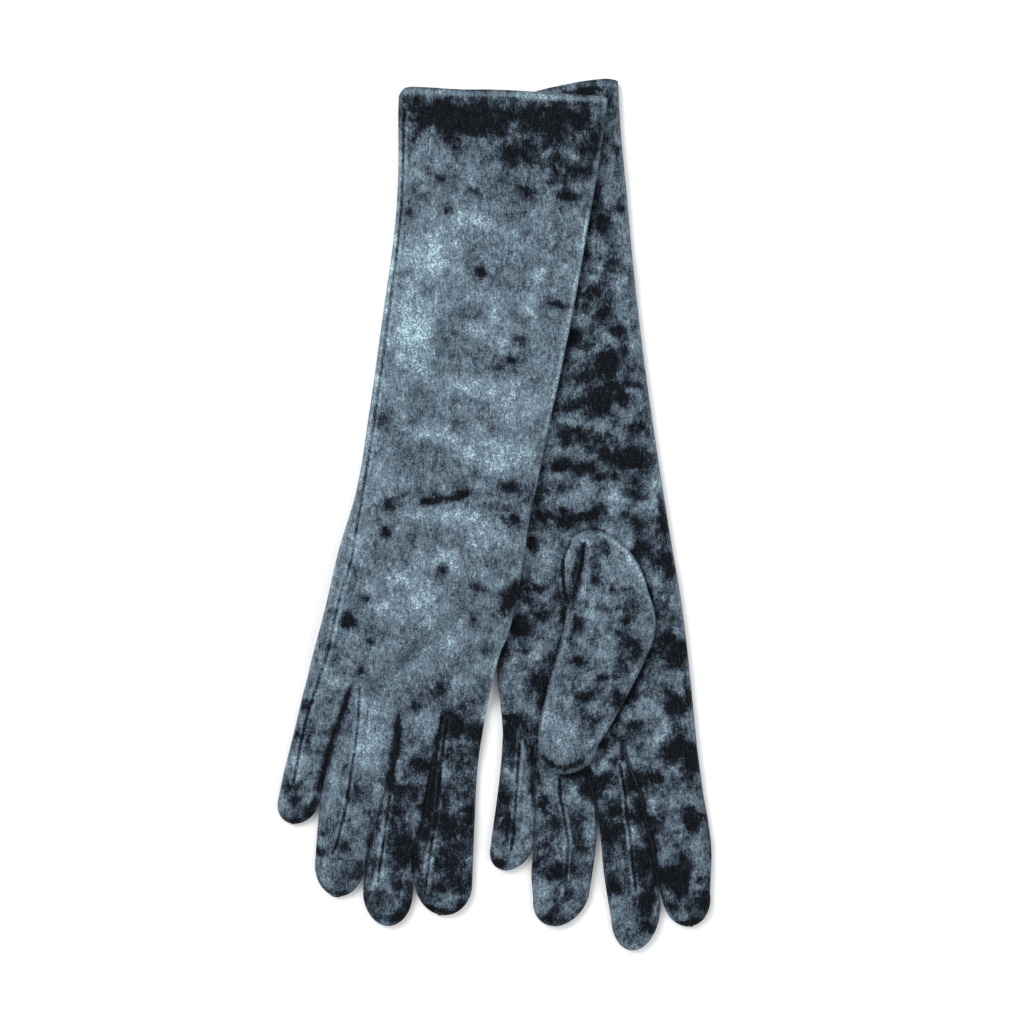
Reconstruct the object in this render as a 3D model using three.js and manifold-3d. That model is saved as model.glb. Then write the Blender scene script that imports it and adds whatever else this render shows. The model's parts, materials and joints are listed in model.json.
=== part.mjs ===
// A pair of long opera gloves in stretch velvet, laid flat on a table and crossed at the cuffs.
// The left-hand glove lies underneath, palm up, with its thumb folded over the palm.
// The right-hand glove lies across it, back of the hand up, with its thumb tucked underneath.
// Millimetres, +Z up. The origin is on the table under the middle of the pair.

import * as THREE from 'three';
import { mergeVertices } from 'three/addons/utils/BufferGeometryUtils.js';
import Module from 'manifold-3d';

const wasm = await Module();
wasm.setup();

// ---- Driving dimensions ---------------------------------------------------------------------

const FABRIC = 0.7;             // thickness of the velvet
const GLOVE_HEIGHT = 7.6;       // height of a glove lying flat, both layers and the air in it
const THUMB_HEIGHT = 6.0;       // height of a thumb sleeve lying flat
const SEAM_GAP = 0.3;           // clearance between two pieces sewn edge to edge
const LAYER_GAP = 0.3;          // clearance between two pieces lying one on the other
const ROOT_GAP = 0.4;           // clearance between the hand and a finger at its hinge line
const HEM_FABRIC = 0.5;         // pressed thickness of the turned-in hem
const HEM_DEPTH = 18;           // depth of the turned-in hem at the cuff
const ALLOWANCE_WIDTH = 4;      // width of the turned-in side seam allowance
const ALLOWANCE_GAP = 0.7;      // clearance between that allowance and the cloth it lies under
const LIFT_OVER_GLOVE = GLOVE_HEIGHT + 0.5;           // right glove where it crosses the left one
const LIFT_OVER_THUMB = THUMB_HEIGHT + 0.8;           // right glove over its own tucked thumb
const LIFT_RAMP = 17;           // run over which the cloth climbs onto the lower glove
const LIFT_START = 20;          // how far outside the lower glove's edge that climb starts
const THUMB_RAMP = 11;          // run over which the cloth climbs onto the tucked thumb
const DROP_START = 279;         // distance from the cuff where the right hand starts to drop
const DROP_END = 297;           // distance from the cuff where it lies on the table
const HAND_END = 335;           // the hand's tube is made this long, then cut at the finger roots
const FOURCHETTE_REACH = 9;     // how far a fourchette shows round from the finger's side line
const THUMB_LENGTH = 80;        // thumb sleeve from its hinge line to its tip
const THUMB_WIDTHS = [43, 42, 37];

// Each glove has its own frame: x across the hand (little finger side negative), s down from
// the cuff towards the fingertips, which is -y. Edges and reaches are [s, value] stations.

const RIGHT = {
  side: 'right',
  up: 1,                        // the back of the hand is on top
  turn: -10.17,
  place: [4.6, 204.2],
  cuff: [10.4, -7.6],           // s of the cuff at its little-finger and index corners
  littleEdge: [[-8, -51], [10, -49.6], [45, -43.9], [75, -40.8], [113, -39.1], [165, -37.2],
    [201, -36.8], [231, -39.4], [261, -41.1], [298, -44.9], [335, -46.5]],
  indexEdge: [[-8, 50.3], [35, 51.6], [67, 52.2], [96, 52.2], [141, 49.9], [191, 48.8],
    [240, 47.8], [265, 46.9], [300, 46.2], [335, 46.5]],
  wrap: [[-10, 6], [160, 7], [205, 9], [235, 11.5], [300, 11]],
  rowStep: 12.5,
  flats: 9,
  fingers: {
    little: { root: [-33.8, 297.6], lean: -4.2, length: 68.4, widths: [22, 20, 19.4], tip: 11 },
    ring: { root: [-10, 299.4], lean: -1.2, length: 97.4, widths: [23.4, 25.6, 25.4], tip: 14 },
    middle: { root: [12.9, 302], lean: 0.3, length: 104.2, widths: [20.2, 20.4, 22.4], tip: 13 },
    index: { root: [35.3, 299.4], lean: 2.6, length: 98, widths: [22, 21.8, 25.6], tip: 14 },
  },
  thumb: { root: [13, 216], lean: -37, apex: [11, 179] },
};

const LEFT = {
  side: 'left',
  up: -1,                       // the palm is on top
  turn: 7.66,
  place: [10.2, 202.7],
  cuff: [1.5, -1.9],
  littleEdge: [[-8, -51], [1, -50.6], [45, -44.4], [75, -41.6], [113, -40.2], [162, -39.5],
    [201, -39.4], [240, -39.9], [264, -41.9], [288, -45.4], [305, -47.1], [335, -52]],
  indexEdge: [[-8, 51.4], [22, 48.9], [51, 47.8], [81, 46.4], [129, 45.3], [178, 45.6],
    [227, 46.7], [252, 47.6], [276, 47.4], [301, 46.6], [335, 45.4]],
  wrap: [[-10, 6], [160, 7], [205, 8.5], [240, 10], [305, 10]],
  rowStep: 25,
  flats: 4,
  fingers: {
    little: { root: [-38.7, 307.3], lean: -14, length: 66, widths: [17.4, 18.4, 19.4], tip: 10 },
    ring: { root: [-18.7, 324.5], lean: -8.5, length: 79, widths: [21.4, 27, 28], tip: 15 },
    middle: { root: [2.3, 324], lean: 1.5, length: 94.4, widths: [20.2, 22.4, 24.4], tip: 14 },
    index: { root: [29.4, 322.2], lean: 1, length: 88, widths: [31.6, 29, 26.4], tip: 15 },
  },
  thumb: { root: [14.4, 251.9], lean: -24, apex: [14, 213.5] },
};

const COLOURS = { back: 0x50606f, palm: 0x4b5a68, fourchette: 0x394653, hem: 0x5b6c7b };
const LOWER_SIDES = { little: 'wrap', ring: 'fourchette', middle: 'fourchette', index: 'fourchette' };
const UPPER_SIDES = { little: 'fourchette', ring: 'fourchette', middle: 'fourchette', index: 'fold' };

// ---- Small helpers --------------------------------------------------------------------------

const flatPoint = (x, s) => new THREE.Vector2(x, -s);
const mix = (a, b, t) => a + (b - a) * t;

function smoothstep(t) {
  const k = THREE.MathUtils.clamp(t, 0, 1);
  return k * k * (3 - 2 * k);
}

// Value at s on a line of [s, value] stations.
function along(stations, s) {
  const next = stations.findIndex(([at]) => at >= s);
  if (next < 0) return stations[stations.length - 1][1];
  if (next === 0) return stations[0][1];
  const [s0, v0] = stations[next - 1];
  const [s1, v1] = stations[next];
  return mix(v0, v1, (s - s0) / (s1 - s0));
}

// Evenly spaced values from a to b in n steps.
function steps(a, b, n) {
  return Array.from({ length: n + 1 }, (_, k) => mix(a, b, k / n));
}

// ---- A flattened tube of cloth --------------------------------------------------------------
// A tube is a list of rows from its mouth to its tip. A row has a point on each outer edge of
// the outline and the inward direction there. Round the edge the cloth follows a half circle of
// the tube's half height, then runs flat. A place on the section is told by its edge and its
// reach: the length of cloth from the outermost line, positive over the top, negative below.

function inward(before, after, edge) {
  const run = after.clone().sub(before).normalize();
  return new THREE.Vector2(-run.y, run.x).multiplyScalar(edge === 'little' ? 1 : -1);
}

// At the mouth of a tube the inward direction runs straight across to the other edge.
function acrossMouth(from, to) {
  return to.clone().sub(from).normalize();
}

function rowsOf(littleLine, indexLine) {
  const last = littleLine.length - 1;
  const closed = littleLine[last].distanceTo(indexLine[last]) < 1e-6;
  return littleLine.map((_, k) => {
    const row = { little: littleLine[k], index: indexLine[k] };
    const lines = { little: littleLine, index: indexLine };
    for (const edge of ['little', 'index']) {
      const other = lines[edge === 'little' ? 'index' : 'little'];
      const before = lines[edge][Math.max(k - 1, 0)];
      const after = k < last ? lines[edge][k + 1] : closed ? other[last - 1] : lines[edge][last];
      row[`${edge}In`] = k === 0 ? acrossMouth(before, other[0]) : inward(before, after, edge);
    }
    return row;
  });
}

function sectionPoint(tube, row, edge, reach) {
  const radius = tube.radius;
  const angle = Math.min(Math.abs(reach) / radius, Math.PI / 2);
  const flat = Math.max(Math.abs(reach) - radius * Math.PI / 2, 0);
  const inset = radius * (1 - Math.cos(angle)) + flat;
  const into = row[`${edge}In`];
  const sign = reach < 0 ? -1 : 1;
  const at = row[edge].clone().addScaledVector(into, inset);
  const point = new THREE.Vector3(at.x, at.y, tube.level + sign * radius * Math.sin(angle));
  const out = -Math.cos(angle);
  const normal = new THREE.Vector3(into.x * out, into.y * out, sign * Math.sin(angle));
  return { point, normal };
}

function betweenPoint(tube, row, share, sign) {
  const reach = sign * tube.radius * Math.PI / 2;
  const a = sectionPoint(tube, row, 'little', reach);
  const b = sectionPoint(tube, row, 'index', reach);
  return { point: a.point.lerp(b.point, share), normal: new THREE.Vector3(0, 0, sign) };
}

// Moves a section place along its own normal and onto whatever the cloth lies on.
function settled(tube, place, offset) {
  const point = place.point.clone().addScaledVector(place.normal, offset);
  point.z += tube.lift ? tube.lift(point.x, -point.y) : 0;
  return point;
}

// A closed body between two grids of points with the same rows and columns.
function clothBody(outer, inner, { loop = false, closedTip = false } = {}) {
  const corners = [];
  const quad = (a, b, c, d) => corners.push(a, b, c, a, c, d);
  const rows = outer.length;
  const cols = outer[0].length;
  const lastCol = loop ? cols : cols - 1;
  for (let j = 0; j < rows - 1; j++) {
    for (let k = 0; k < lastCol; k++) {
      const n = (k + 1) % cols;
      quad(outer[j][k], outer[j][n], outer[j + 1][n], outer[j + 1][k]);
      quad(inner[j][k], inner[j + 1][k], inner[j + 1][n], inner[j][n]);   // cut along the same diagonal
    }
    if (!loop) {
      quad(outer[j][0], outer[j + 1][0], inner[j + 1][0], inner[j][0]);
      const e = cols - 1;
      quad(outer[j][e], inner[j][e], inner[j + 1][e], outer[j + 1][e]);
    }
  }
  const rim = (j, flip) => {
    for (let k = 0; k < lastCol; k++) {
      const n = (k + 1) % cols;
      if (flip) quad(outer[j][k], outer[j][n], inner[j][n], inner[j][k]);
      else quad(inner[j][k], inner[j][n], outer[j][n], outer[j][k]);
    }
  };
  rim(0, false);
  if (!closedTip) rim(rows - 1, true);
  return weld(corners);
}

// Merges equal corners, drops faces without area, and turns the faces outwards.
function weld(corners) {
  const raw = new THREE.BufferGeometry();
  raw.setAttribute('position', new THREE.Float32BufferAttribute(corners.flatMap((p) => [p.x, p.y, p.z]), 3));
  const merged = mergeVertices(raw, 1e-4);
  const kept = [];
  const index = merged.index.array;
  for (let k = 0; k < index.length; k += 3) {
    const [a, b, c] = [index[k], index[k + 1], index[k + 2]];
    if (a !== b && b !== c && c !== a) kept.push(a, b, c);
  }
  if (signedVolume(merged.attributes.position, kept) < 0) {
    for (let k = 0; k < kept.length; k += 3) [kept[k], kept[k + 1]] = [kept[k + 1], kept[k]];
  }
  merged.setIndex(kept);
  return merged;
}

function signedVolume(position, index) {
  const corner = (k) => new THREE.Vector3().fromBufferAttribute(position, index[k]);
  let volume = 0;
  for (let k = 0; k < index.length; k += 3) {
    volume += corner(k).dot(corner(k + 1).cross(corner(k + 2))) / 6;
  }
  return volume;
}

// ---- Cloth pieces cut from a tube -----------------------------------------------------------

// One face of a tube, from a reach on the little-finger edge to a reach on the index edge.
function facePiece(tube, { sign, reach, offsets = [0, -FABRIC], segments = 3, flats = 0 }) {
  const quarter = tube.radius * Math.PI / 2;
  const columns = (row, j) => {
    const places = [];
    const from = reach(j);
    for (const edge of ['little', 'index']) {
      const inner = sign * (Math.max(quarter, sign * from[edge]) + 0.4);
      const list = steps(from[edge], inner, segments).map((r) => sectionPoint(tube, row, edge, r));
      places.push(list);
    }
    const middle = steps(0, 1, flats + 1).slice(1, -1).map((t) => betweenPoint(tube, row, t, sign));
    return [...places[0], ...middle, ...places[1].reverse()];
  };
  const grid = tube.rows.map(columns);
  const [outer, inner] = offsets.map((o) => grid.map((row) => row.map((p) => settled(tube, p, o))));
  return clothBody(outer, inner, { closedTip: tube.closed });
}

// A strip that runs round one edge of a tube, from the reach below to the reach above.
function edgeStrip(tube, edge, reach, { offsets = [0, -FABRIC], segments = 8, rows = tube.rows } = {}) {
  const grid = rows.map((row, j) => {
    const [low, high] = reach(j);
    return steps(low, high, segments).map((r) => sectionPoint(tube, row, edge, r));
  });
  const [outer, inner] = offsets.map((o) => grid.map((row) => row.map((p) => settled(tube, p, o))));
  return clothBody(outer, inner);
}

// The whole way round a tube.
function ringPiece(tube, rows, offsets, flats) {
  const quarter = tube.radius * Math.PI / 2;
  const grid = rows.map((row) => {
    const edge = (name) => steps(-quarter, quarter, 6).map((r) => sectionPoint(tube, row, name, r));
    const middle = (sign) => steps(0, 1, flats + 1).slice(1, -1)
      .map((t) => betweenPoint(tube, row, t, sign));
    return [...edge('little'), ...middle(1), ...edge('index').reverse(), ...middle(-1).reverse()];
  });
  const [outer, inner] = offsets.map((o) => grid.map((row) => row.map((p) => settled(tube, p, o))));
  return clothBody(outer, inner, { loop: true, closedTip: tube.closed });
}

// ---- Cutting --------------------------------------------------------------------------------

function toSolid(geometry) {
  const bare = geometry.clone();
  bare.deleteAttribute('normal');
  bare.deleteAttribute('uv');
  const merged = mergeVertices(bare, 1e-4);
  const vertProperties = new Float32Array(merged.attributes.position.array);
  const triVerts = new Uint32Array(merged.index.array);
  return new wasm.Manifold(new wasm.Mesh({ numProp: 3, vertProperties, triVerts }));
}

function toGeometry(solid) {
  const mesh = solid.getMesh();
  const geometry = new THREE.BufferGeometry();
  geometry.setAttribute('position', new THREE.BufferAttribute(new Float32Array(mesh.vertProperties), 3));
  geometry.setIndex(new THREE.BufferAttribute(new Uint32Array(mesh.triVerts), 1));
  return geometry;
}

function cutAway(geometry, ...outlines) {
  let solid = toSolid(geometry);
  for (const outline of outlines) {
    const prism = new THREE.ExtrudeGeometry(new THREE.Shape(outline), { depth: 60, bevelEnabled: false });
    prism.translate(0, 0, -20);
    solid = solid.subtract(toSolid(prism));
  }
  return toGeometry(solid);
}

// ---- Fingers --------------------------------------------------------------------------------

const TAPER = [0, 0.45, 0.85, 1];      // shares of the straight part of a finger with a row
const TIP_ROWS = [25, 50, 72, 90];     // degrees round the fingertip with a row

function fingerFrame({ root, lean }) {
  const angle = THREE.MathUtils.degToRad(lean);
  const down = new THREE.Vector2(Math.sin(angle), -Math.cos(angle));
  const across = new THREE.Vector2(Math.cos(angle), Math.sin(angle));
  return { origin: flatPoint(...root), down, across };
}

function fingerLines(finger) {
  const { origin, down, across } = fingerFrame(finger);
  const straight = finger.length - finger.tip;
  const widths = [[0, finger.widths[0]], [0.5, finger.widths[1]], [1, finger.widths[2]]];
  const spots = TAPER.map((t) => [t * straight, along(widths, t) / 2]);
  for (const degrees of TIP_ROWS) {
    const angle = THREE.MathUtils.degToRad(degrees);
    const half = degrees < 90 ? Math.cos(angle) * finger.widths[2] / 2 : 0;
    spots.push([straight + Math.sin(angle) * finger.tip, half]);
  }
  const line = (side) => spots.map(([run, half]) => origin.clone()
    .addScaledVector(down, run).addScaledVector(across, side * half));
  return [line(-1), line(1)];
}

function fingerTube(finger, radius, level) {
  return { rows: rowsOf(...fingerLines(finger)), radius, level, closed: true };
}

// Reach of the seams down a finger: full at the root, narrowing to nothing where the tip starts.
function seamReach(row, full) {
  return [full, full * 0.9, full * 0.72, 1.4][row] ?? 0;
}

// Where a finger's back or front ends on its two side lines. A front that wraps goes round the
// little-finger side, as far as the side seam on the back.
function fingerReaches(kinds, up, face) {
  const gap = SEAM_GAP / 2;
  const facing = face === 'back' ? up : -up;
  return (row) => Object.fromEntries(['little', 'index'].map((edge) => {
    const reach = kinds[edge] === 'fold' ? 0 : seamReach(row, FOURCHETTE_REACH);
    const wraps = face === 'front' && kinds[edge] === 'wrap' && reach > 0;
    return [edge, wraps ? up * (reach - gap) : facing * (reach + gap)];
  }));
}

function fingerPieces(glove, name) {
  const tube = fingerTube(glove.fingers[name], GLOVE_HEIGHT / 2, GLOVE_HEIGHT / 2);
  const kinds = { little: LOWER_SIDES[name], index: UPPER_SIDES[name] };
  const back = facePiece(tube, { sign: glove.up, reach: fingerReaches(kinds, glove.up, 'back') });
  const front = facePiece(tube, {
    sign: -glove.up,
    reach: fingerReaches(kinds, glove.up, 'front'),
    segments: kinds.little === 'wrap' ? 6 : 3,
  });
  const pieces = { [`${name}_back`]: [back, COLOURS.back], [`${name}_front`]: [front, COLOURS.palm] };
  for (const edge of ['little', 'index']) {
    if (kinds[edge] !== 'fourchette') continue;
    const reach = (j) => [-1, 1].map((s) => s * (seamReach(j, FOURCHETTE_REACH) - SEAM_GAP / 2));
    const rows = tube.rows.slice(0, TAPER.length);
    const strip = edgeStrip(tube, edge, reach, { rows });
    pieces[`${name}_fourchette_${edge}_side`] = [strip, COLOURS.fourchette];
  }
  return pieces;
}

// ---- Hand and forearm -----------------------------------------------------------------------

function handRows(glove, stops) {
  const lines = [[], []];
  for (const stop of stops) {
    [glove.littleEdge, glove.indexEdge].forEach((edge, k) => {
      const s = glove.cuff[k] + stop * (1 - glove.cuff[k] / HAND_END);
      lines[k].push(flatPoint(along(edge, s), s));
    });
  }
  return rowsOf(...lines);
}

function handStops(glove) {
  const count = Math.round((HAND_END - HEM_DEPTH) / glove.rowStep);
  return [0, HEM_DEPTH / 2, ...steps(HEM_DEPTH, HAND_END, count)];
}

// The outline beyond the four hinge lines, where the fingers take over from the hand.
function beyondRoots(glove) {
  const outline = [];
  const names = ['little', 'ring', 'middle', 'index'];
  names.forEach((name, k) => {
    const finger = glove.fingers[name];
    const { origin, down, across } = fingerFrame(finger);
    const half = finger.widths[0] / 2;
    const reach = { low: k === 0 ? 25 : half, high: k === 3 ? 25 : half + ROOT_GAP };
    const edge = origin.clone().addScaledVector(down, -ROOT_GAP);
    outline.push(edge.clone().addScaledVector(across, -reach.low));
    outline.push(edge.clone().addScaledVector(across, reach.high));
  });
  outline.push(flatPoint(75, HAND_END + 30), flatPoint(-80, HAND_END + 30));
  return outline;
}

function thumbHole({ root, apex }) {
  const centre = flatPoint(...root).lerp(flatPoint(...apex), 0.42);
  const hole = new THREE.Path().absellipse(centre.x, centre.y, 12, 9, 0, Math.PI * 2);
  return hole.getPoints(16).slice(0, -1);
}

function handPieces(glove, lift) {
  const stops = handStops(glove);
  const tube = { rows: handRows(glove, stops), radius: GLOVE_HEIGHT / 2, level: GLOVE_HEIGHT / 2, lift };
  const gap = SEAM_GAP / 2;
  const { up, flats } = glove;
  const wrapAt = (j) => along(glove.wrap, stops[j]);
  const back = facePiece(tube, {
    sign: up, flats, reach: (j) => ({ little: up * (wrapAt(j) + gap), index: up * gap }),
  });
  const palm = facePiece(tube, {
    sign: -up, flats, segments: 6,
    reach: (j) => ({ little: up * (wrapAt(j) - gap), index: -up * gap }),
  });
  const beneath = -(FABRIC + LAYER_GAP);
  const hemRows = handRows(glove, [0.2, HEM_DEPTH / 2, HEM_DEPTH]);
  const hem = ringPiece(tube, hemRows, [beneath, beneath - HEM_FABRIC], flats);
  const inside = -(FABRIC + ALLOWANCE_GAP);
  const seamStops = stops.filter((s) => s > HEM_DEPTH && s < DROP_START);
  const seam = edgeStrip(tube, 'little', (j) => {
    const middle = along(glove.wrap, seamStops[j]);
    return [-1, 1].map((k) => up * middle + k * ALLOWANCE_WIDTH / 2);
  }, { offsets: [inside, inside - HEM_FABRIC], segments: 3, rows: handRows(glove, seamStops) });
  const roots = beyondRoots(glove);
  return {
    trank_back: [cutAway(back, roots), COLOURS.back],
    trank_palm: [cutAway(palm, roots, thumbHole(glove.thumb)), COLOURS.palm],
    cuff_hem: [hem, COLOURS.hem],
    side_seam: [seam, COLOURS.hem],
  };
}

// ---- Thumb ----------------------------------------------------------------------------------
// The thumb sleeve lies on the palm. A hood of cloth, the thumb gusset, joins it to the palm
// round an arch and covers the hole through which the thumb enters the sleeve.

function thumbFinger({ root, lean }) {
  return { root, lean, length: THUMB_LENGTH, widths: THUMB_WIDTHS, tip: 20 };
}

function gussetRows({ root, lean, apex }) {
  const { origin, down, across } = fingerFrame({ root, lean });
  const top = flatPoint(...apex);
  const line = (side) => {
    const corner = origin.clone().addScaledVector(down, -ROOT_GAP)
      .addScaledVector(across, side * THUMB_WIDTHS[0] / 2);
    const bend = new THREE.Vector2(corner.x + side * 1.5, mix(corner.y, top.y, 0.95));
    return new THREE.QuadraticBezierCurve(corner, bend, top).getPoints(6);
  };
  return rowsOf(line(1), line(-1));
}

function thumbPieces(glove) {
  const half = THUMB_HEIGHT / 2;
  const onTop = glove.up < 0;
  const level = onTop ? GLOVE_HEIGHT + LAYER_GAP + half : half;
  const sleeve = fingerTube(thumbFinger(glove.thumb), half, level);
  const rows = gussetRows(glove.thumb);
  const hoodLevel = onTop ? GLOVE_HEIGHT + LAYER_GAP : THUMB_HEIGHT;
  const hood = { rows, radius: THUMB_HEIGHT, level: hoodLevel, closed: true };
  const reach = () => ({ little: 0, index: 0 });
  return {
    thumb: [ringPiece(sleeve, sleeve.rows, [0, -FABRIC], 1), COLOURS.palm],
    thumb_gusset: [facePiece(hood, { sign: onTop ? 1 : -1, reach }), COLOURS.fourchette],
  };
}

// ---- The right glove climbs over the left glove and over its own thumb -------------------------

function toPair(glove, x, s) {
  const turn = THREE.MathUtils.degToRad(glove.turn);
  return flatPoint(x, s).rotateAround(new THREE.Vector2(), turn).add(new THREE.Vector2(...glove.place));
}

// How far a point of the right glove lies inside the left glove's little-finger edge.
function insideLeftGlove(point) {
  const turn = THREE.MathUtils.degToRad(-LEFT.turn);
  const own = point.clone().sub(new THREE.Vector2(...LEFT.place)).rotateAround(new THREE.Vector2(), turn);
  return own.x - along(LEFT.littleEdge, -own.y);
}

function outsideThumb(x, s) {
  const { root, lean, apex } = RIGHT.thumb;
  const { origin, down } = fingerFrame({ root, lean });
  const tip = origin.clone().addScaledVector(down, THUMB_LENGTH - 13);
  const start = flatPoint(...apex).lerp(origin, 0.6);
  const run = tip.clone().sub(start);
  const here = flatPoint(x, s).sub(start);
  const t = THREE.MathUtils.clamp(here.dot(run) / run.lengthSq(), 0, 1);
  return here.distanceTo(run.multiplyScalar(t)) - mix(33, 19.5, t);
}

function rightLift(x, s) {
  const drop = 1 - smoothstep((s - DROP_START) / (DROP_END - DROP_START));
  const climb = smoothstep((insideLeftGlove(toPair(RIGHT, x, s)) + LIFT_START) / LIFT_RAMP);
  const bump = smoothstep((THUMB_RAMP + 2 - outsideThumb(x, s)) / THUMB_RAMP);
  return Math.max(LIFT_OVER_GLOVE * climb * drop, LIFT_OVER_THUMB * bump);
}

// ---- Assembly -------------------------------------------------------------------------------

function gloveGroup(glove, lift) {
  const group = new THREE.Group();
  const pieces = { ...handPieces(glove, lift), ...thumbPieces(glove) };
  for (const name of ['little', 'ring', 'middle', 'index']) {
    Object.assign(pieces, fingerPieces(glove, name));
  }
  for (const [name, [geometry, colour]] of Object.entries(pieces)) {
    const material = new THREE.MeshStandardMaterial({ color: colour, roughness: 0.85, metalness: 0 });
    const mesh = new THREE.Mesh(geometry, material);
    mesh.name = `${glove.side}_${name}`;
    group.add(mesh);
  }
  group.rotation.z = THREE.MathUtils.degToRad(glove.turn);
  group.position.set(...glove.place, 0);
  return group;
}

const pair = new THREE.Group();
pair.add(gloveGroup(LEFT, null));
pair.add(gloveGroup(RIGHT, rightLift));

export default pair;
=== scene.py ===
"""A pair of opera gloves in crushed velvet, laid flat with the right glove across the left one.

Lengths here are millimetres in a glove's own frame, x across the hand with the little finger on
the low side and s down from the cuff to the fingertips, until a mesh is made, which is in metres.
"""

import json  # noqa: E402
import logging  # noqa: E402
from dataclasses import dataclass  # noqa: E402
from enum import Enum  # noqa: E402
from functools import cached_property  # noqa: E402

import bmesh  # noqa: E402
import bpy  # noqa: E402
import numpy as np  # noqa: E402
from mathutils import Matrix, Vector  # noqa: E402

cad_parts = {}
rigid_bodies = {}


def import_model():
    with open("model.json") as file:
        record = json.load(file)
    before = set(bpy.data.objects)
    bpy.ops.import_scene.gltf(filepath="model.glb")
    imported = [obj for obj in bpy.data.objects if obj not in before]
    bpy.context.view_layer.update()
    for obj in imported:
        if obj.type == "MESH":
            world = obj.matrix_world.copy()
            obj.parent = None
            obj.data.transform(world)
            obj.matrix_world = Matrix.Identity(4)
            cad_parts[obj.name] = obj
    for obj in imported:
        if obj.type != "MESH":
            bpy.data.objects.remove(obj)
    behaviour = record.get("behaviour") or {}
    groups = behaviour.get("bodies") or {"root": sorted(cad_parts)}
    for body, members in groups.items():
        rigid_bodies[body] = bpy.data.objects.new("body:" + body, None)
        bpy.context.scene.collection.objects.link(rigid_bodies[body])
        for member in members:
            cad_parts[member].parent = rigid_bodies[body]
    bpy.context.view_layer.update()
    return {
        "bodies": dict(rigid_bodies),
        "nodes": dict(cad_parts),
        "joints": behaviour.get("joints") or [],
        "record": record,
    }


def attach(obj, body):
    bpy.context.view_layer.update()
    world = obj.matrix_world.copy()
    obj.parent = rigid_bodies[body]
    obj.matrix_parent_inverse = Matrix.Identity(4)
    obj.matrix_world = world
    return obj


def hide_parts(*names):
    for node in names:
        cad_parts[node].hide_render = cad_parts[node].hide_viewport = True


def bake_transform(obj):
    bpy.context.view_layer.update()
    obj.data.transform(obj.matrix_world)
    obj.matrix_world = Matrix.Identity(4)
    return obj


Array = np.ndarray
Points = tuple[tuple[float, float], ...]

MM = 0.001
CLOTH = 0.6  # thickness of the velvet
HALF_HEIGHT = 3.8  # half the height of a glove lying flat
THUMB_HALF = 2.9  # half the height of a thumb sleeve lying flat
EDGE_ROUND = 5.0  # width over which a folded edge rounds over
HEM_DEPTH = 18.0  # depth of the turned-in hem
HEM_INSET = 1.2  # how far inside the outer cloth the hem lies
SOFTEN = 14.0  # run beyond a crotch over which a finger's side rounds over
LIFT_OVER_GLOVE = 8.1  # right glove where it crosses the left one
LIFT_OVER_THUMB = 6.8  # right glove over its own tucked thumb
SEAM_FAR = 20.0  # seam distances are not told apart beyond this
SEAM_GROOVE = 0.5  # depth of a seam's groove on a glove
THUMB_GROOVE = 0.7  # depth of a seam's groove on a thumb sleeve
TIP_ROUND = 7.0  # run over which a fingertip rounds down
THUMB_TIP_ROUND = 8.0  # run over which the thumb's tip rounds down
THUMB_ARCH_ROUND = 16.0  # run over which the thumb rises from the arch
THUMB_EDGE_ROUND = 7.5  # width over which the thumb's edges round over
FLOOR_GAP = 0.05  # nothing lies lower than this

# The raised place over the tucked thumb tapers along this line between these half widths.
TUCKED_LINE = ((12.2, 201.2), (-27.3, 269.5))
TUCKED_REACH = (33.0, 19.5)
TUCKED_START = 13.0  # how far outside the taper the rise over the thumb starts
TUCKED_FALL = 11.0  # width over which that rise is climbed
CLIMB_START = 20.0  # how far outside the lower glove's edge the rise over it starts
CLIMB_WIDTH = 17.0  # width over which that rise is climbed
DESCENT_START = 279.0  # where the upper glove starts down toward its finger roots
DESCENT_RUN = 18.0  # run over which it comes down

FLOOR_HALF = 3.0  # half the side of the floor, m

HAND_NODES = ("trank_back", "trank_palm", "cuff_hem", "side_seam")
THUMB_NODES = ("thumb", "thumb_gusset")

log = logging.getLogger("gloves")


class Face(Enum):
    """The two faces of a glove lying flat."""

    UP = 1
    DOWN = -1


# ---- Numbers --------------------------------------------------------------------------------


def ease(t: Array | float) -> Array:
    """Smooth step of t, held at 0 below 0 and at 1 above 1."""
    t = np.clip(t, 0.0, 1.0)
    return t * t * (3 - 2 * t)


def flowing(knots: Points, at: Array) -> Array:
    """A smooth curve through (place, value) knots.

    Each span is a cubic whose end slopes are the mean of the straight slopes on both sides.

    Args:
        knots: Places in rising order, with their values.
        at: Where to read the curve. Beyond the ends it keeps the end's value.

    Returns:
        The curve's value at each place.
    """
    p, v = np.array(knots, float).T
    slope = np.diff(v) / np.diff(p)
    ends = np.r_[slope[0], (slope[1:] + slope[:-1]) / 2, slope[-1]]
    at = np.clip(at, p[0], p[-1])
    k = np.clip(np.searchsorted(p, at) - 1, 0, len(p) - 2)
    w = p[k + 1] - p[k]
    t = (at - p[k]) / w
    return (
        v[k] * (1 + 2 * t) * (1 - t) ** 2
        + ends[k] * w * t * (1 - t) ** 2
        + v[k + 1] * t * t * (3 - 2 * t)
        + ends[k + 1] * w * t * t * (t - 1)
    )


def path_at(points: Points, share: Array) -> Array:
    """Points on a smooth path, at shares of its length.

    Args:
        points: The corners that the path flows through.
        share: From 0 at the first corner to 1 at the last.

    Returns:
        One (x, s) row for each share.
    """
    p = np.array(points, float)
    run = np.r_[0, np.cumsum(np.linalg.norm(np.diff(p, axis=0), axis=1))]
    run /= run[-1]
    ways = [flowing(tuple(zip(run, p[:, k])), share) for k in (0, 1)]
    return np.stack(ways, -1)


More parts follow.
